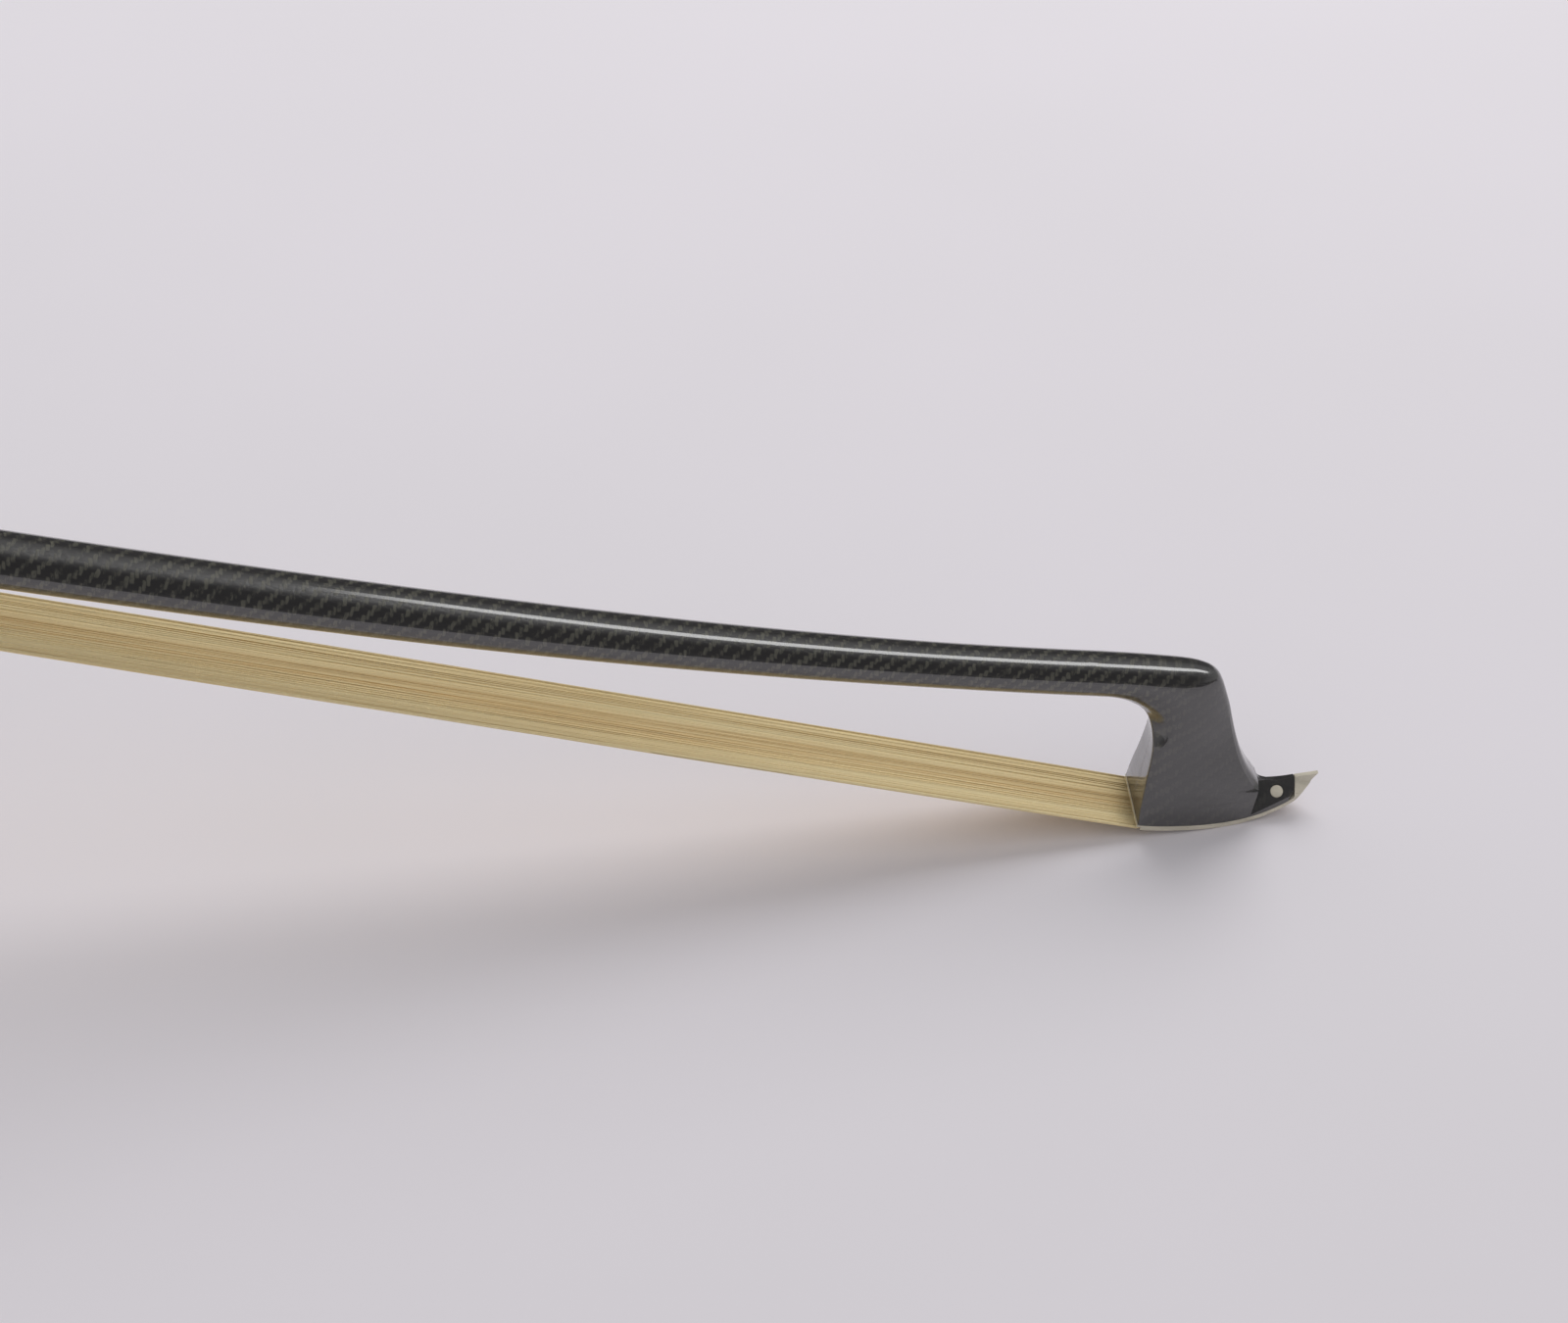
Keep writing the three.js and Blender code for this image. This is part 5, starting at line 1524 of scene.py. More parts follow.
class HeadPlate:
    """The pale plate under the head, which turns up in front of the nose as a beak."""

    @dataclass(frozen=True)
    class Sizes:
        """The plate's sizes, in millimetres."""

        thickness: float = 0.85
        tip: Span = (25.3, 11.03)
        nose_top: Span = (22.1, 9.73)
        nose_foot: Span = (22.55, 7.33)
        tip_half: float = 0.42
        edge: float = 0.16
        inner_edge: float = 0.05
        stations: int = 64
        beak_steps: int = 18
        beak_bow: float = 2.0
        opening_x: Span = (5.0, 11.4)
        opening_half: float = 4.0
        hair_depth: float = 0.58
        hair_half: Span = (6.3, 4.0)
        fan_end: float = 5.0
        cut_under: float = -2.0
        cut_over: float = 4.0

    def __init__(self, layout: Layout, head: HeadShape) -> None:
        """Takes the bow's layout and the shape of its head."""
        self.layout, self.head, self.sizes = layout, head, HeadPlate.Sizes()

    def half(self, x: float, z: float) -> float:
        """Gives the half width at a place of the plate or its beak.

        Args:
            x: The place along the bow, from the heel of the head.
            z: Its height.

        Returns:
            The half width.
        """
        head, size = self.head, self.sizes
        full = head.sole_half(head.nose_reach)
        plan = head.sole_half(x)
        if x > head.nose_reach:
            plan = lerp(full, size.tip_half, smoothstep(x, head.nose_reach, size.tip[0]))
        low, high = size.nose_foot[1], size.nose_top[1]
        return min(plan, lerp(full, head.ridge_half, clamp((z - low) / (high - low)))) if z > low else plan

    def lines(self) -> list[tuple[np.ndarray, np.ndarray]]:
        """Pairs the plate's outer line with its inner line, from the heel to the tip of the beak.

        Returns:
            The pairs of points, in x and z.
        """
        head, size = self.head, self.sizes
        pairs = []
        for k in range(size.stations + 1):
            x = head.nose_reach * (k / size.stations) ** 1.1
            low = head.sole_height(x) - head.seat
            pairs.append((np.array((x, low)), np.array((x, low + size.thickness))))
        start, before = pairs[-1][0], pairs[-2][0]
        rise = (start - before) / np.linalg.norm(start - before)
        foot, top = np.array(size.nose_foot), np.array(size.nose_top)
        beak = fillet(start, start + rise * size.beak_bow, size.tip, size.beak_steps + 1)
        inner = [foot + (top - foot) * (k / size.beak_steps) for k in range(size.beak_steps + 1)]
        return pairs + list(zip(beak, inner))[1:]

    def ring(self, outer: np.ndarray, inner: np.ndarray) -> np.ndarray:
        """Makes a section between the plate's two lines, with its outer edges rounded.

        Args:
            outer: Its point on the outer line, in x and z.
            inner: Its point on the inner line.

        Returns:
            The ring.
        """
        thick = float(np.linalg.norm(inner - outer))
        low, high = self.half(*outer), self.half(*inner)
        r = min(self.sizes.edge, low * 0.6, thick * 0.4)
        small = min(self.sizes.inner_edge, high * 0.3)
        side = [(low * s, 0.0) for s in (0.0, 0.4, 0.75)]
        side += fillet((low - r, 0.0), (low, 0.0), (lerp(low, high, r / thick), r / thick), 5)
        side += [(lerp(low, high, s), s) for s in (0.6, 1 - small / thick)]
        side += [(high - small, 1.0), (high * 0.5, 1.0)]
        ring = [(*(outer + (inner - outer) * t), y) for y, t in side]
        ring.append((*inner, 0.0))
        other = [(x, z, -y) for x, z, y in reversed(ring[1:-1])]
        return np.array([self.layout.place(x, y, z) for x, z, y in ring + other])

    def cutters(self) -> list[Thing]:
        """Makes the opening for the plug and the fan-shaped seat of the hair.

        Returns:
            The two bodies that are cut out of the plate.
        """
        head, size, place = self.head, self.sizes, self.layout.place
        outline = bar_corners(size.opening_half, size.cut_under, size.cut_over)
        opening = block("opening_cut", [place(x, y, z) for x in size.opening_x for y, z in outline])
        rings = []
        for x in (-1.5, 0.0, 1.25, 2.5, 3.75, size.fan_end, size.fan_end + 1):
            half = lerp(*size.hair_half, clamp(x / size.fan_end))
            top = head.sole_height(x) - head.seat + size.hair_depth
            rings.append(np.array([place(x, y, z) for y, z in bar_corners(half, size.cut_under, top)]))
        return [opening, make_piece("seat_cut", *rings_mesh(rings))]

    def build(self) -> None:
        """Builds, cuts and dresses the plate."""
        rings = [self.ring(*pair) for pair in self.lines()]
        piece = make_piece("bone_plate", *rings_mesh(rings, Ends.STRIPS))
        carve(piece, self.cutters())
        tidy_mesh(piece, 28.0)
        hand_over(piece, Finishes.BONE, "stick", "tip_plate")


# Hair


@dataclass(frozen=True)
class Strand:
    """One hair: its place across the ribbon and through it, and its gentle waves."""

    across: float
    depth: float
    sway: float
    wave: float
    phase: float
    tone: float


class HairMaker:
    """The ribbon of horsehair, strand by strand, from the knot in the head to the knot in the frog."""

    @dataclass(frozen=True)
    class Sizes:
        """The ribbon's sizes, in millimetres."""

        count: int = 300
        radius: float = 0.085
        sides: int = 4
        thickness: float = 0.5
        half_head: float = 6.0
        half_ferrule: float = 5.6
        margin: float = 0.02
        lap: float = 0.04
        lip: float = 0.63
        spread: float = 0.8
        bed: Triple = (0.2, 0.2, 0.3)
        bed_tone: float = 0.15
        bed_rings: int = 13
        half_in_head: float = 3.7
        half_in_frog: float = 4.0
        head_knot_half: float = 1.9
        stations: int = 44
        station_power: float = 1.35
        still_ends: float = 12.0
        scatter: float = 0.01
        sway: Span = (0.02, 0.11)
        waves: Span = (0.6, 2.2)
        wall_x: float = 5.33
        top_z: float = 4.33
        frog_x: float = -17.33
        frog_low: float = 0.88
        frog_high: float = 2.61
        frog_top: float = 6.8
        knot_rings: int = 40
        knot_sides: int = 28
        knot_turns: int = 9
        knot_power: float = 0.55
        thread_dent: float = 0.05
        lump: float = 0.04
        snug: float = 0.95
        seed: int = 7

    def __init__(self, layout: Layout, head: HeadShape) -> None:
        """Draws the strands once for every part of the ribbon.

        Args:
            layout: The bow's layout.
            head: The shape of its head.
        """
        self.layout, self.head, self.sizes = layout, head, HairMaker.Sizes()
        size, draw = self.sizes, np.random.default_rng(self.sizes.seed)
        places = (np.arange(size.count) + 0.5) / size.count * 2 - 1 + draw.normal(0, size.scatter, size.count)
        self.strands = [
            Strand(
                clamp(float(across), -1, 1), draw.random(), draw.uniform(*size.sway),
                draw.uniform(*size.waves), draw.uniform(0, TAU), draw.random(),
            )
            for across in places
        ]

    def bundle(self, name: str, lay: Callable[[Strand], list], bed: Sequence[np.ndarray] = ()) -> Thing:
        """Makes one mesh of all the strands.

        Args:
            name: Name of the piece.
            lay: Gives the path of a strand.
            bed: Rings of the thin core that closes the gaps between them, if there is one.

        Returns:
            The piece, with each strand's tone stored on its points.
        """
        points, faces, tones = [], [], []
        for strand in self.strands:
            made, skin = tube(lay(strand), self.sizes.radius, self.sizes.sides, len(points))
            points += made
            faces += skin
            tones += [strand.tone] * len(made)
        if bed:
            made, skin = rings_mesh(bed)
            faces += [[len(points) + v for v in face] for face in skin]
            points += list(made)
            tones += [self.sizes.bed_tone] * len(made)
        piece = make_piece(name, np.array(points), faces, 180.0)
        store = piece.data.attributes.new("tone", "FLOAT", "POINT")
        store.data.foreach_set("value", np.array(tones, np.float32))
        return piece

    def level(self, strand: Strand) -> float:
        """Height of a strand inside the ribbon."""
        return lerp(self.sizes.radius, self.sizes.thickness - self.sizes.radius, strand.depth)

    def inside(self, half: float) -> float:
        """Half width that is left for the strands' middles."""
        return half - self.sizes.radius - self.sizes.margin

    def run_place(self, share: float) -> np.ndarray:
        """Gives the underside of the free hair at a share of the way from the ferrule to the head."""
        start = self.layout.on_frog(-self.sizes.lap, 0.0, self.sizes.lip)
        return start + (self.layout.place(-self.sizes.lap) - start) * share

    def run_half(self, share: float) -> float:
        """Half width of the ribbon at a share of the way, where its slack hair spreads a little."""
        size = self.sizes
        return lerp(size.half_ferrule, size.half_head, share) + size.spread * math.sin(math.pi * share) ** 0.7

    def run_path(self, strand: Strand) -> list[np.ndarray]:
        """Lays one strand from the ferrule to the head.

        Args:
            strand: The strand.

        Returns:
            The points of its middle line.
        """
        path = []
        for k in range(self.sizes.stations + 1):
            share = 1 - (1 - k / self.sizes.stations) ** self.sizes.station_power
            half = self.inside(self.run_half(clamp(share)))
            fade = min(1.0, self.sizes.still_ends * share, self.sizes.still_ends * (1 - share))
            bend = strand.sway * fade * math.sin(TAU * strand.wave * 4 * share + strand.phase)
            y = clamp(strand.across * half + bend, -half, half)
            x, _, z = self.run_place(share)
            path.append(np.array((x, y, z + self.level(strand))))
        return path

    def run_bed(self) -> list[np.ndarray]:
        """Makes the rings of the ribbon's core.

        Returns:
            The rings from the ferrule to the head.
        """
        rings = []
        inset, low, high = self.sizes.bed
        for share in np.linspace(0, 1, self.sizes.bed_rings):
            x, _, z = self.run_place(share)
            outline = bar_corners(self.run_half(clamp(share)) - inset, low, high)
            rings.append(np.array([(x, y, z + rise) for y, rise in outline]))
        return rings

    def tip_path(self, strand: Strand) -> list[np.ndarray]:
        """Lays one strand from the heel of the head up into its mortise.

        Args:
            strand: The strand.

        Returns:
            The points of its middle line.
        """
        size, head, level = self.sizes, self.head, self.level(strand)
        turned = size.wall_x + size.thickness / 2 - level
        path = []
        for x in (-size.lap, 0.6, 1.6, 2.8, 4.0, 4.8):
            half = self.inside(lerp(size.half_head, size.half_in_head, clamp(x / size.wall_x)))
            z = head.sole_height(x) - head.seat + level
            path.append(self.layout.place(min(x, turned - 0.1), strand.across * half, z))
        base = head.sole_height(size.wall_x) - head.seat + level
        upper = lerp(base, size.top_z, 0.6)
        for z, share in ((base + 0.18, 0.0), (base + 0.6, 0.15), (upper, 0.6), (size.top_z, 1.0)):
            half = self.inside(lerp(size.half_in_head, size.head_knot_half, share))
            path.append(self.layout.place(turned, strand.across * half, z))
        return path

    def frog_path(self, strand: Strand) -> list[np.ndarray]:
        """Lays one strand from the mouth of the ferrule up into the frog.

        Args:
            strand: The strand.

        Returns:
            The points of its middle line.
        """
        size, (low, high) = self.sizes, (self.sizes.frog_low, self.sizes.frog_high)
        level = self.level(strand) - size.thickness / 2
        turned = size.frog_x - level
        line = [
            (-size.lap, low, 0.0), (-9.8, low, 0.0), (-11.5, low + 0.5, 0.1), (-12.6, high, 0.2),
            (-16.0, high, 1.0), (-16.9, high + 0.15, 1.0), (turned, high + 0.7, 1.0),
            (turned, size.frog_top, 1.0),
        ]
        path = []
        for x, z, share in line:
            half = self.inside(lerp(size.half_ferrule, size.half_in_frog, share))
            path.append(self.layout.on_frog(x, strand.across * half, z if x == turned else z + level))
        return path

    def knot(self, name: str, node: str, shrink: Triple, pitch: float) -> Thing:
        """Makes a tied knot: a rounded bundle bound with thread.

        Args:
            name: Name of the piece.
            node: The CAD node whose room it fills.
            shrink: Share of that room's length, width and height that it takes.
            pitch: The bow's pitch at the knot.

        Returns:
            The knot.
        """
        size, (low, high) = self.sizes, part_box(node)
        middle, half = np.array((low + high) / 2) / MM, np.array((high - low) / 2) / MM * shrink
        c, s = math.cos(pitch), math.sin(pitch)
        rings = []
        for t in (k / size.knot_rings for k in range(1, size.knot_rings)):
            dent = 1 + size.thread_dent * math.cos(TAU * size.knot_turns * t)
            girth = math.sin(math.pi * t) ** size.knot_power * dent
            y = -half[1] * math.cos(math.pi * t)
            ring = []
            for a in (TAU * m / size.knot_sides for m in range(size.knot_sides)):
                lump = size.snug + size.lump * math.cos(7 * a + 4 * t)
                dx = half[0] * girth * lump * math.cos(a) * size.snug
                dz = half[2] * girth * lump * math.sin(a) * size.snug
                ring.append(middle + (dx * c + dz * s, y, dz * c - dx * s))
            rings.append(np.array(ring))
        return make_piece(name, *rings_mesh(rings))

    def build(self) -> None:
        """Builds the free hair, both hidden ends and both knots."""
        start, end = self.layout.on_frog(5.0), self.layout.place(-8.0)
        run = self.bundle("hair_strands", self.run_path, self.run_bed())
        hand_over(run, Finishes.HAIR, "", "hair_ribbon")
        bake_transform(run)
        hand_over(self.bundle("hair_in_head", self.tip_path), Finishes.HAIR, "stick", "tip_hair")
        hand_over(self.bundle("hair_in_frog", self.frog_path), Finishes.HAIR, "frog", "frog_hair")
        head_knot = self.knot("knot_in_head", "tip_hair_knot", (1, 1, 1), 0.0)
        hand_over(head_knot, Finishes.HAIR, "stick", "tip_hair_knot")
        frog_knot = self.knot("knot_in_frog", "frog_hair_knot", (0.96, 1, 0.9), self.layout.pitch)
        hand_over(frog_knot, Finishes.HAIR, "frog", "frog_hair_knot")


# Grip


class GripMaker:
    """The thumb leather, the wound strip and its collar round the stick."""

    @dataclass(frozen=True)
    class Sizes:
        """The grip's sizes, in millimetres."""

        snug: float = 0.08
        gap: float = 0.3
        leather_place: float = -6.4
        leather_length: float = 27.0
        rear_thickness: float = 1.9
        front_thickness: float = 0.9
        loops: int = 20
        loop_steps: int = 40
        pitch: float = 3.2
        lay_width: float = 2.5
        strip_width: float = 2.85
        strip_thickness: float = 0.75
        strip_sides: int = 16
        strip_squareness: Span = (0.45, 0.75)
        turn_length: float = 2.6
        turn_steps: int = 10
        collar_length: float = 5.0
        collar_thickness: float = 0.9
        seam: float = 2.5
        seam_reach: float = 0.5
        seam_share: float = 0.14
        sides: int = 96
        leather: tuple = (
            (0, 0, 1), (0.02, 0.5, 0.3), (0.04, 0.75, 0), (0.12, 1, 0), (0.3, 1, 0), (0.7, 0.5, 0.5),
            (0.97, 0, 1), (0.99, 0, 0.85), (1, 0, 0.5),
        )
        collar: tuple = ((0, 0.5), (0.04, 0.85), (0.1, 1), (0.8, 1), (0.93, 0.7), (1, 0.35))

    def __init__(self, layout: Layout) -> None:
        """Takes the bow's layout."""
        self.layout, self.sizes = layout, GripMaker.Sizes()

    @property
    def rear(self) -> float:
        """Where the leather begins, measured from the head's heel."""
        return self.layout.on_handle(self.sizes.leather_place)[0] - self.layout.heel_x

    @property
    def coil_start(self) -> float:
        """Where the strip sets off."""
        return self.rear + self.sizes.leather_length + self.sizes.gap

    @property
    def coil_end(self) -> float:
        """Where the strip ends."""
        size = self.sizes
        return self.coil_start + 2 * (size.turn_length + size.lay_width) + size.loops * size.pitch

    def cover(self, x: float) -> float:
        """Least radius of a round cover that clears the stick's corners."""
        return self.layout.radius(x, TAU / 16) + self.sizes.snug

    def sleeve(self, name: str, start: float, end: float, rows: tuple, thick: tuple[float, ...]) -> Thing:
        """Makes a sleeve round the stick with a lapped seam along it.

        Args:
            name: Name of the piece.
            start: Where it begins.
            end: Where it ends.
            rows: Shares of the way and of each thickness.
            thick: The thicknesses.

        Returns:
            The sleeve.
        """
        size, layout = self.sizes, self.layout
        angles = [TAU * k / size.sides for k in range(size.sides)]
        table = np.array(rows, float)
        shares = np.unique(np.concatenate([table[:, 0], np.linspace(0, 1, 41)]))
        depth = smooth_curve(table[:, 0], table[:, 1:], shares) @ np.array(thick)
        rings = []
        for share, deep in zip(shares, depth):
            x = lerp(start, end, share)
            ring = []
            for angle in angles:
                past = (angle - size.seam) / size.seam_reach
                lap = 1 - size.seam_share * (smoothstep(past, 0.0, 1.0) if past < 1 else 0.0)
                ring.append(layout.on_stick(x, angle, self.cover(x) + deep * lap))
            rings.append(np.array(ring))
        for x in (end, start):
            rings.append(np.array([layout.on_stick(x, a, layout.radius(x, a, size.snug)) for a in angles]))
        return make_piece(name, *rings_mesh(rings, Ends.JOINED), crease=40.0)

    def strip_path(self) -> list[Span]:
        """Lays the strip out: an end along the stick, a bend, its loops, a bend and an end.

        Returns:
            For each point its place along the bow and its angle round the stick.
        """
        size = self.sizes
        start, width = self.coil_start, size.lay_width
        radius = self.cover(start) + size.strip_thickness / 2
        turn = size.turn_length / radius
        upright = math.pi / 2 - math.atan(size.pitch / (TAU * radius))

        def bend(share: float) -> Span:
            """Follows the first bend.

            Args:
                share: How far round the bend.

            Returns:
                The way along and the angle round.
            """
            heading = upright * share
            along = size.turn_length * math.sin(heading) / math.sin(upright)
            return along, turn * (1 - math.cos(heading)) / (1 - math.cos(upright))

        path = [(start + width * s, 0.0) for s in (0.0, 0.5, 1.0)]
        bends = [bend(i / size.turn_steps) for i in range(1, size.turn_steps)]
        path += [(start + width + along, turned) for along, turned in bends]
        coil = start + width + size.turn_length
        steps = size.loops * size.loop_steps
        run = size.loops * size.pitch
        path += [(coil + run * i / steps, turn + TAU * size.loops * i / steps) for i in range(steps + 1)]
        last, around = coil + run + size.turn_length, 2 * turn + TAU * size.loops
        path += [(last - along, around - turned) for along, turned in reversed(bends)]
        return path + [(last + width * s, around) for s in (0.0, 0.5, 1.0)]

    def strip(self) -> Thing:
        """Winds the flat strip with rounded edges, and lays its own coordinates on it.

        Returns:
            The strip.
        """
        layout, size = self.layout, self.sizes
        path = self.strip_path()
        places = [layout.on_stick(x, a, self.cover(x) + size.strip_thickness / 2) for x, a in path]
        turns = [TAU * (k + 0.5) / size.strip_sides for k in range(size.strip_sides)]
        flat, deep = size.strip_squareness
        outline = [
            (size.strip_width / 2 * math.copysign(abs(c) ** flat, c),
             size.strip_thickness / 2 * math.copysign(abs(s) ** deep, s))
            for c, s in ((math.cos(t), math.sin(t)) for t in turns)
        ]
        rings, laid, gone = [], [], 0.0
        for i, place in enumerate(places):
            away = place - layout.on_stick(path[i][0], 0.0, 0.0)
            away /= np.linalg.norm(away)
            before, after = places[max(i - 1, 0)], places[min(i + 1, len(places) - 1)]
            wide = np.cross(away, (after - before) / np.linalg.norm(after - before))
            wide /= np.linalg.norm(wide)
            gone += float(np.linalg.norm(place - places[i - 1])) if i else 0.0
            rings.append(np.array([place + wide * across + away * rise for across, rise in outline]))
            laid += [(gone, across) for across, _ in outline]
        piece = make_piece("wound_strip", *rings_mesh(rings), crease=60.0)
        layer = piece.data.uv_layers.new(name="strip")
        layer.data.foreach_set("uv", np.array(laid, np.float32)[loop_points(piece.data)].ravel())
        return piece

    def build(self) -> None:
        """Builds all three."""
        size = self.sizes
        thick = (size.rear_thickness, size.front_thickness)
        end = self.rear + size.leather_length
        leather = self.sleeve("leather_sleeve", self.rear, end, size.leather, thick)
        hand_over(leather, Finishes.LEATHER, "stick", "thumb_leather")
        start = self.coil_end + size.gap
        end = start + size.collar_length
        collar = self.sleeve("leather_collar", start, end, size.collar, (size.collar_thickness,))
        hand_over(collar, Finishes.LEATHER, "stick", "winding_collar")
        hand_over(self.strip(), Finishes.WINDING, "stick", "grip_winding")


# Frog and adjuster


FITTINGS = {
    Finishes.EBONY: {"frog_body": 0.25, "slide": 0.1, "button_core": 0.15},
    Finishes.BOXWOOD: {"tip_plug": 0.12, "spread_wedge": 0.15, "frog_plug": 0.15},
    Finishes.NICKEL: {
        "ferrule": 0.12, "heel_plate": 0.15, "heel_pin_base": 0.1, "heel_pin_rear": 0.1,
        "underslide": 0.08, "underslide_pin_front": 0.1, "underslide_pin_rear": 0.1,
        "eye_ring_left": 0.1, "eye_ring_right": 0.1, "button_front_ring": 0.15, "button_rear_ring": 0.15,
    },
    Finishes.PEARL: {
        "slide_pearl": 0.1, "pearl_eye_left": 0.1, "pearl_eye_right": 0.1, "button_pearl": 0.15,
    },
    Finishes.BRASS: {"eyelet": 0.2},
    Finishes.STEEL: {"adjuster_screw": 0.0},
}


def dress_fittings() -> None:
    """Gives every CAD node that keeps its own solid its finish and its rounded edges."""
    for finish, widths in FITTINGS.items():
        for name, width in widths.items():
            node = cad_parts[name]
            dress(node, finish)
            if width:
                round_edges(node, width)
            log.info("%s: kept, with edges rounded by %.2f mm", name, width)


# Studio


class Studio:
    """The pale table that the bow's tip rests on, its light and its camera."""

    @dataclass(frozen=True)
    class Sizes:
        """Places in millimetres of the frame, and directions."""

        tilt: float = 14.0
        contact: Span = (343.43, 2.07)
        floor_length: Span = (-820.0, 320.0)
        floor_half: float = 520.0
        floor_fade: float = 160.0
        floor_front: Span = (-116.0, -104.0)
        floor_colour: Triple = (0.86, 0.822, 0.872)
        floor_tint: Triple = (0.845, 0.81, 0.855)
        ambient: Triple = (0.5, 0.5, 0.5)
        key_way: Triple = (-0.014, 0.67, 0.742)
        key_target: Triple = (280.0, 0.0, 0.0)
        key_distance: float = 1300.0
        key_width: float = 42.0
        key_power: float = 7.3
        strip_light: float = 5.4
        strip_half: float = 0.13
        strip_edge: float = 0.03
        strip_start: Span = (-0.006, 0.028)
        strip_end: Span = (0.5, 0.7)
        strip_drift: Span = (0.1, -0.19)
        room: Triple = (0.05, 0.05, 0.052)
        ceiling: Triple = (0.4, 0.4, 0.4)
        table_mirror: Triple = (0.655, 0.63, 0.66)
        seen_low: Triple = (0.64, 0.615, 0.655)
        seen_high: Triple = (0.715, 0.695, 0.74)
        camera: Triple = (180.553, -383.98, 286.2)
        right: Triple = (0.9678, -0.0639, 0.2436)
        up: Triple = (-0.159, 0.5952, 0.7878)
        lens: float = 78.75
        sensor: float = 36.0
        clip: Span = (0.01, 20.0)

    def __init__(self) -> None:
        """Takes the studio's sizes."""
        self.sizes = Studio.Sizes()

    @property
    def normal(self) -> Vector:
        """The table's direction upwards."""
        tilt = math.radians(self.sizes.tilt)
        return Vector((-math.sin(tilt), 0.0, math.cos(tilt)))

    def floor_material(self) -> bpy.types.Material:
        """Makes the table's pale surface, which fades out at its borders and from below.

        Returns:
            The material.
        """
        size = self.sizes
        material = bpy.data.materials.new("table_surface")
        graph = Graph.fresh(material)
        place = graph.place()
        tint = graph.blend(
            graph.remap(graph.noise(place, 9.0), 0.3, 0.7), rgba(size.floor_colour), rgba(size.floor_tint))
        shader = graph.add("ShaderNodeBsdfDiffuse", {"Color": tint})
        x, y, _ = graph.split(place)
        half_length = (size.floor_length[1] - size.floor_length[0]) / 2
        share = graph.times(*(
            graph.remap(graph.apart(way, middle * MM), (half - size.floor_fade) * MM, half * MM, 1.0, 0.0)
            for way, half, middle in ((x, half_length, sum(size.floor_length) / 2), (y, size.floor_half, 0.0))
        ))
        facing = graph.math("SUBTRACT", 1.0, graph.add("ShaderNodeNewGeometry").outputs["Backfacing"])
        share = graph.times(share, facing, graph.remap(y, *(v * MM for v in size.floor_front)))
        clear = graph.add("ShaderNodeBsdfTransparent")
        mix = graph.add("ShaderNodeMixShader", {0: share, 1: clear.outputs[0], 2: shader.outputs[0]})
        graph.add("ShaderNodeOutputMaterial", {"Surface": mix.outputs[0]})
        return material

    def floor(self) -> Thing:
        """Lays the table under the bow, with its own x along its slope.

        Returns:
            The table.
        """
        size = self.sizes
        (x0, x1), half = size.floor_length, size.floor_half
        corners = [(x0, -half, 0), (x1, -half, 0), (x1, half, 0), (x0, half, 0)]
        table = make_piece("table", np.array(corners), [[0, 1, 2, 3]])
        if table.data.polygons[0].normal.z < 0:
            table.data.flip_normals()
        turn = Matrix.Rotation(-math.radians(size.tilt), 4, "Y")
        table.matrix_world = Matrix.Translation((size.contact[0] * MM, 0, size.contact[1] * MM)) @ turn
        table.data.materials.append(self.floor_material())
        return table

    def key(self) -> Thing:
        """Hangs the one soft lamp.

        Returns:
            The lamp.
        """
        size = self.sizes
        way = Vector(size.key_way).normalized()
        lamp = bpy.data.lights.new("key", "AREA")
        lamp.shape = "DISK"
        lamp.size = 2 * size.key_distance * math.tan(math.radians(size.key_width / 2)) * MM
        lamp.energy = size.key_power
        piece = bpy.data.objects.new("key", lamp)
        bpy.context.scene.collection.objects.link(piece)
        piece.location = (Vector(size.key_target) + way * size.key_distance) * MM
        piece.rotation_euler = way.to_track_quat("Z", "Y").to_euler()
        piece.visible_glossy = False
        return piece

    def world(self) -> None:
        """Lights the room: an even pale sky, with what glossy surfaces mirror of it."""
        size = self.sizes
        world = bpy.context.scene.world = bpy.data.worlds.new("room")
        graph = Graph.fresh(world)
        way = graph.add("ShaderNodeTexCoord").outputs["Generated"]

        def along(direction: Iterable[float]) -> Socket:
            """Reads how far a ray goes along a direction."""
            inputs = {0: way, 1: tuple(direction)}
            return graph.add("ShaderNodeVectorMath", inputs, operation="DOT_PRODUCT").outputs["Value"]

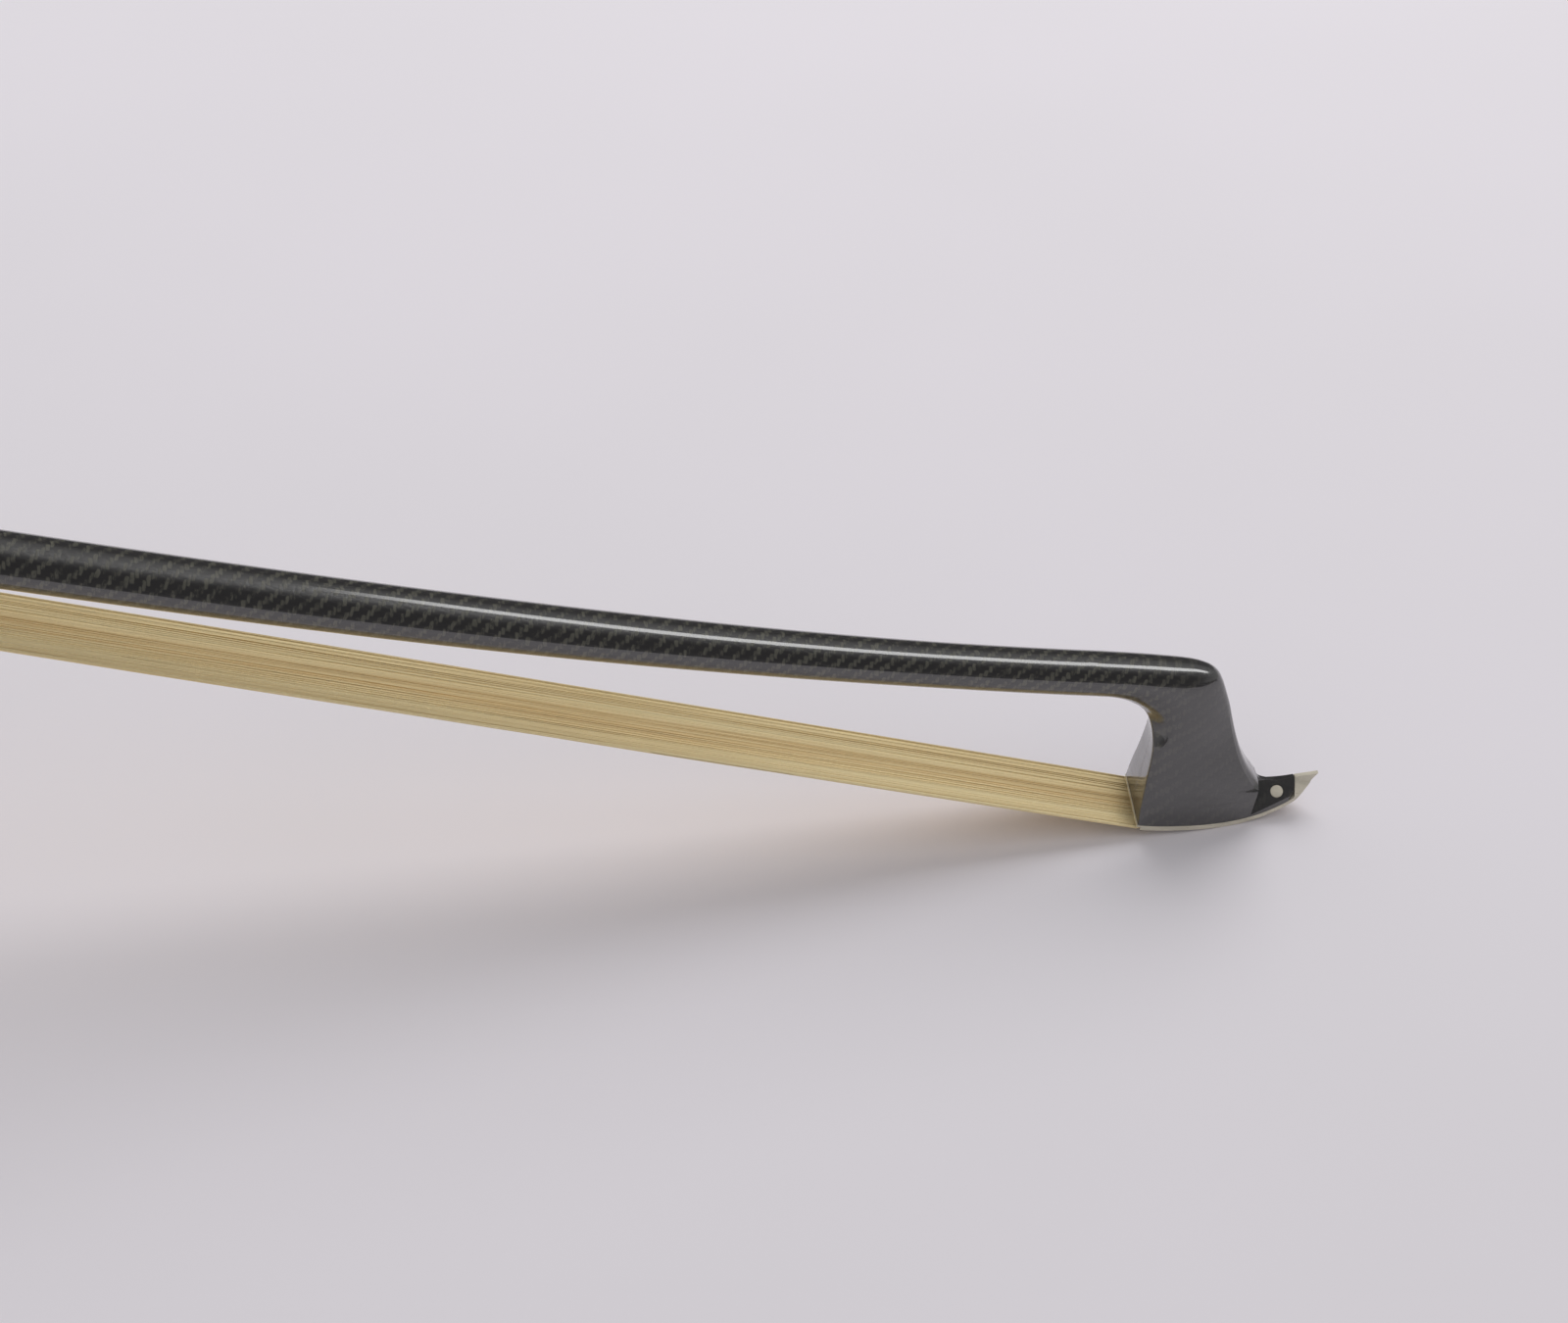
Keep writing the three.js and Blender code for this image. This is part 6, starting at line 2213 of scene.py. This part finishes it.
        up, east, south = along(self.normal), along((1.0, 0.0, 0.0)), along((0.0, 1.0, 0.0))
        seen = graph.blend(graph.remap(up, -0.75, -0.1), rgba(size.seen_low), rgba(size.seen_high))
        strip = graph.apart(south, graph.remap(east, 0.0, 0.07, *size.strip_drift))
        low, high = size.strip_half - size.strip_edge, size.strip_half + size.strip_edge
        wide = graph.remap(strip, low, high, 1.0, 0.0)
        long = graph.times(graph.remap(east, *size.strip_start), graph.remap(east, *size.strip_end, 1.0, 0.0))
        patch = graph.times(wide, long, graph.math("GREATER_THAN", up, 0.3))
        middle = graph.remap(graph.math("ABSOLUTE", south), 0.3, 0.75, 1.0, 0.0)
        ends = graph.math("MAXIMUM", middle, graph.remap(graph.math("ABSOLUTE", east), 0.5, 0.85))
        above = graph.blend(ends, rgba(size.room), rgba(size.ceiling))
        above = graph.blend(patch, above, rgba((size.strip_light,) * 3))
        side = graph.remap(east, -0.6, -0.3, 1.0, 0.0)
        lit = graph.math("MAXIMUM", graph.remap(south, -0.3, -0.1), side)
        below = graph.blend(lit, rgba(size.room), rgba(size.table_mirror))
        mirrored = graph.blend(graph.math("LESS_THAN", up, 0.0), above, below)
        ambient, mirror, view = (
            graph.add("ShaderNodeBackground", {"Color": colour}).outputs[0]
            for colour in (rgba(size.ambient), mirrored, seen)
        )
        path = graph.add("ShaderNodeLightPath").outputs
        glossy = graph.add("ShaderNodeMixShader", {0: path["Is Glossy Ray"], 1: ambient, 2: mirror})
        direct = graph.math("MAXIMUM", path["Is Camera Ray"], path["Is Transmission Ray"])
        full = graph.add("ShaderNodeMixShader", {0: direct, 1: glossy.outputs[0], 2: view})
        graph.add("ShaderNodeOutputWorld", {"Surface": full.outputs[0]})

    def camera(self) -> None:
        """Sets the camera where the photograph was taken from."""
        size = self.sizes
        data = bpy.data.cameras.new("camera")
        data.lens, data.sensor_width = size.lens, size.sensor
        data.clip_start, data.clip_end = size.clip
        right, up = Vector(size.right), Vector(size.up)
        turn = Matrix((right, up, right.cross(up))).transposed().to_4x4()
        piece = bpy.context.scene.camera = bpy.data.objects.new("camera", data)
        bpy.context.scene.collection.objects.link(piece)
        piece.matrix_world = Matrix.Translation(Vector(size.camera) * MM) @ turn

    def build(self) -> None:
        """Sets up the table, the light, the room and the camera."""
        self.floor()
        self.key()
        self.world()
        self.camera()
        bpy.context.scene.view_settings.view_transform = "Standard"


def main() -> None:
    """Builds the bow from its head to its button, and sets up the studio."""
    logging.basicConfig(level=logging.INFO, format="%(message)s")
    layout = Layout(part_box("tip_plate")[0].x / MM)
    head = HeadShape()
    StickMaker(layout, head).build()
    HeadPlate(layout, head).build()
    for side in (1, -1):
        NosePin(layout, head, side).build()
    HairMaker(layout, head).build()
    GripMaker(layout).build()
    dress_fittings()
    Studio().build()


if __name__ == "__main__":
    main()
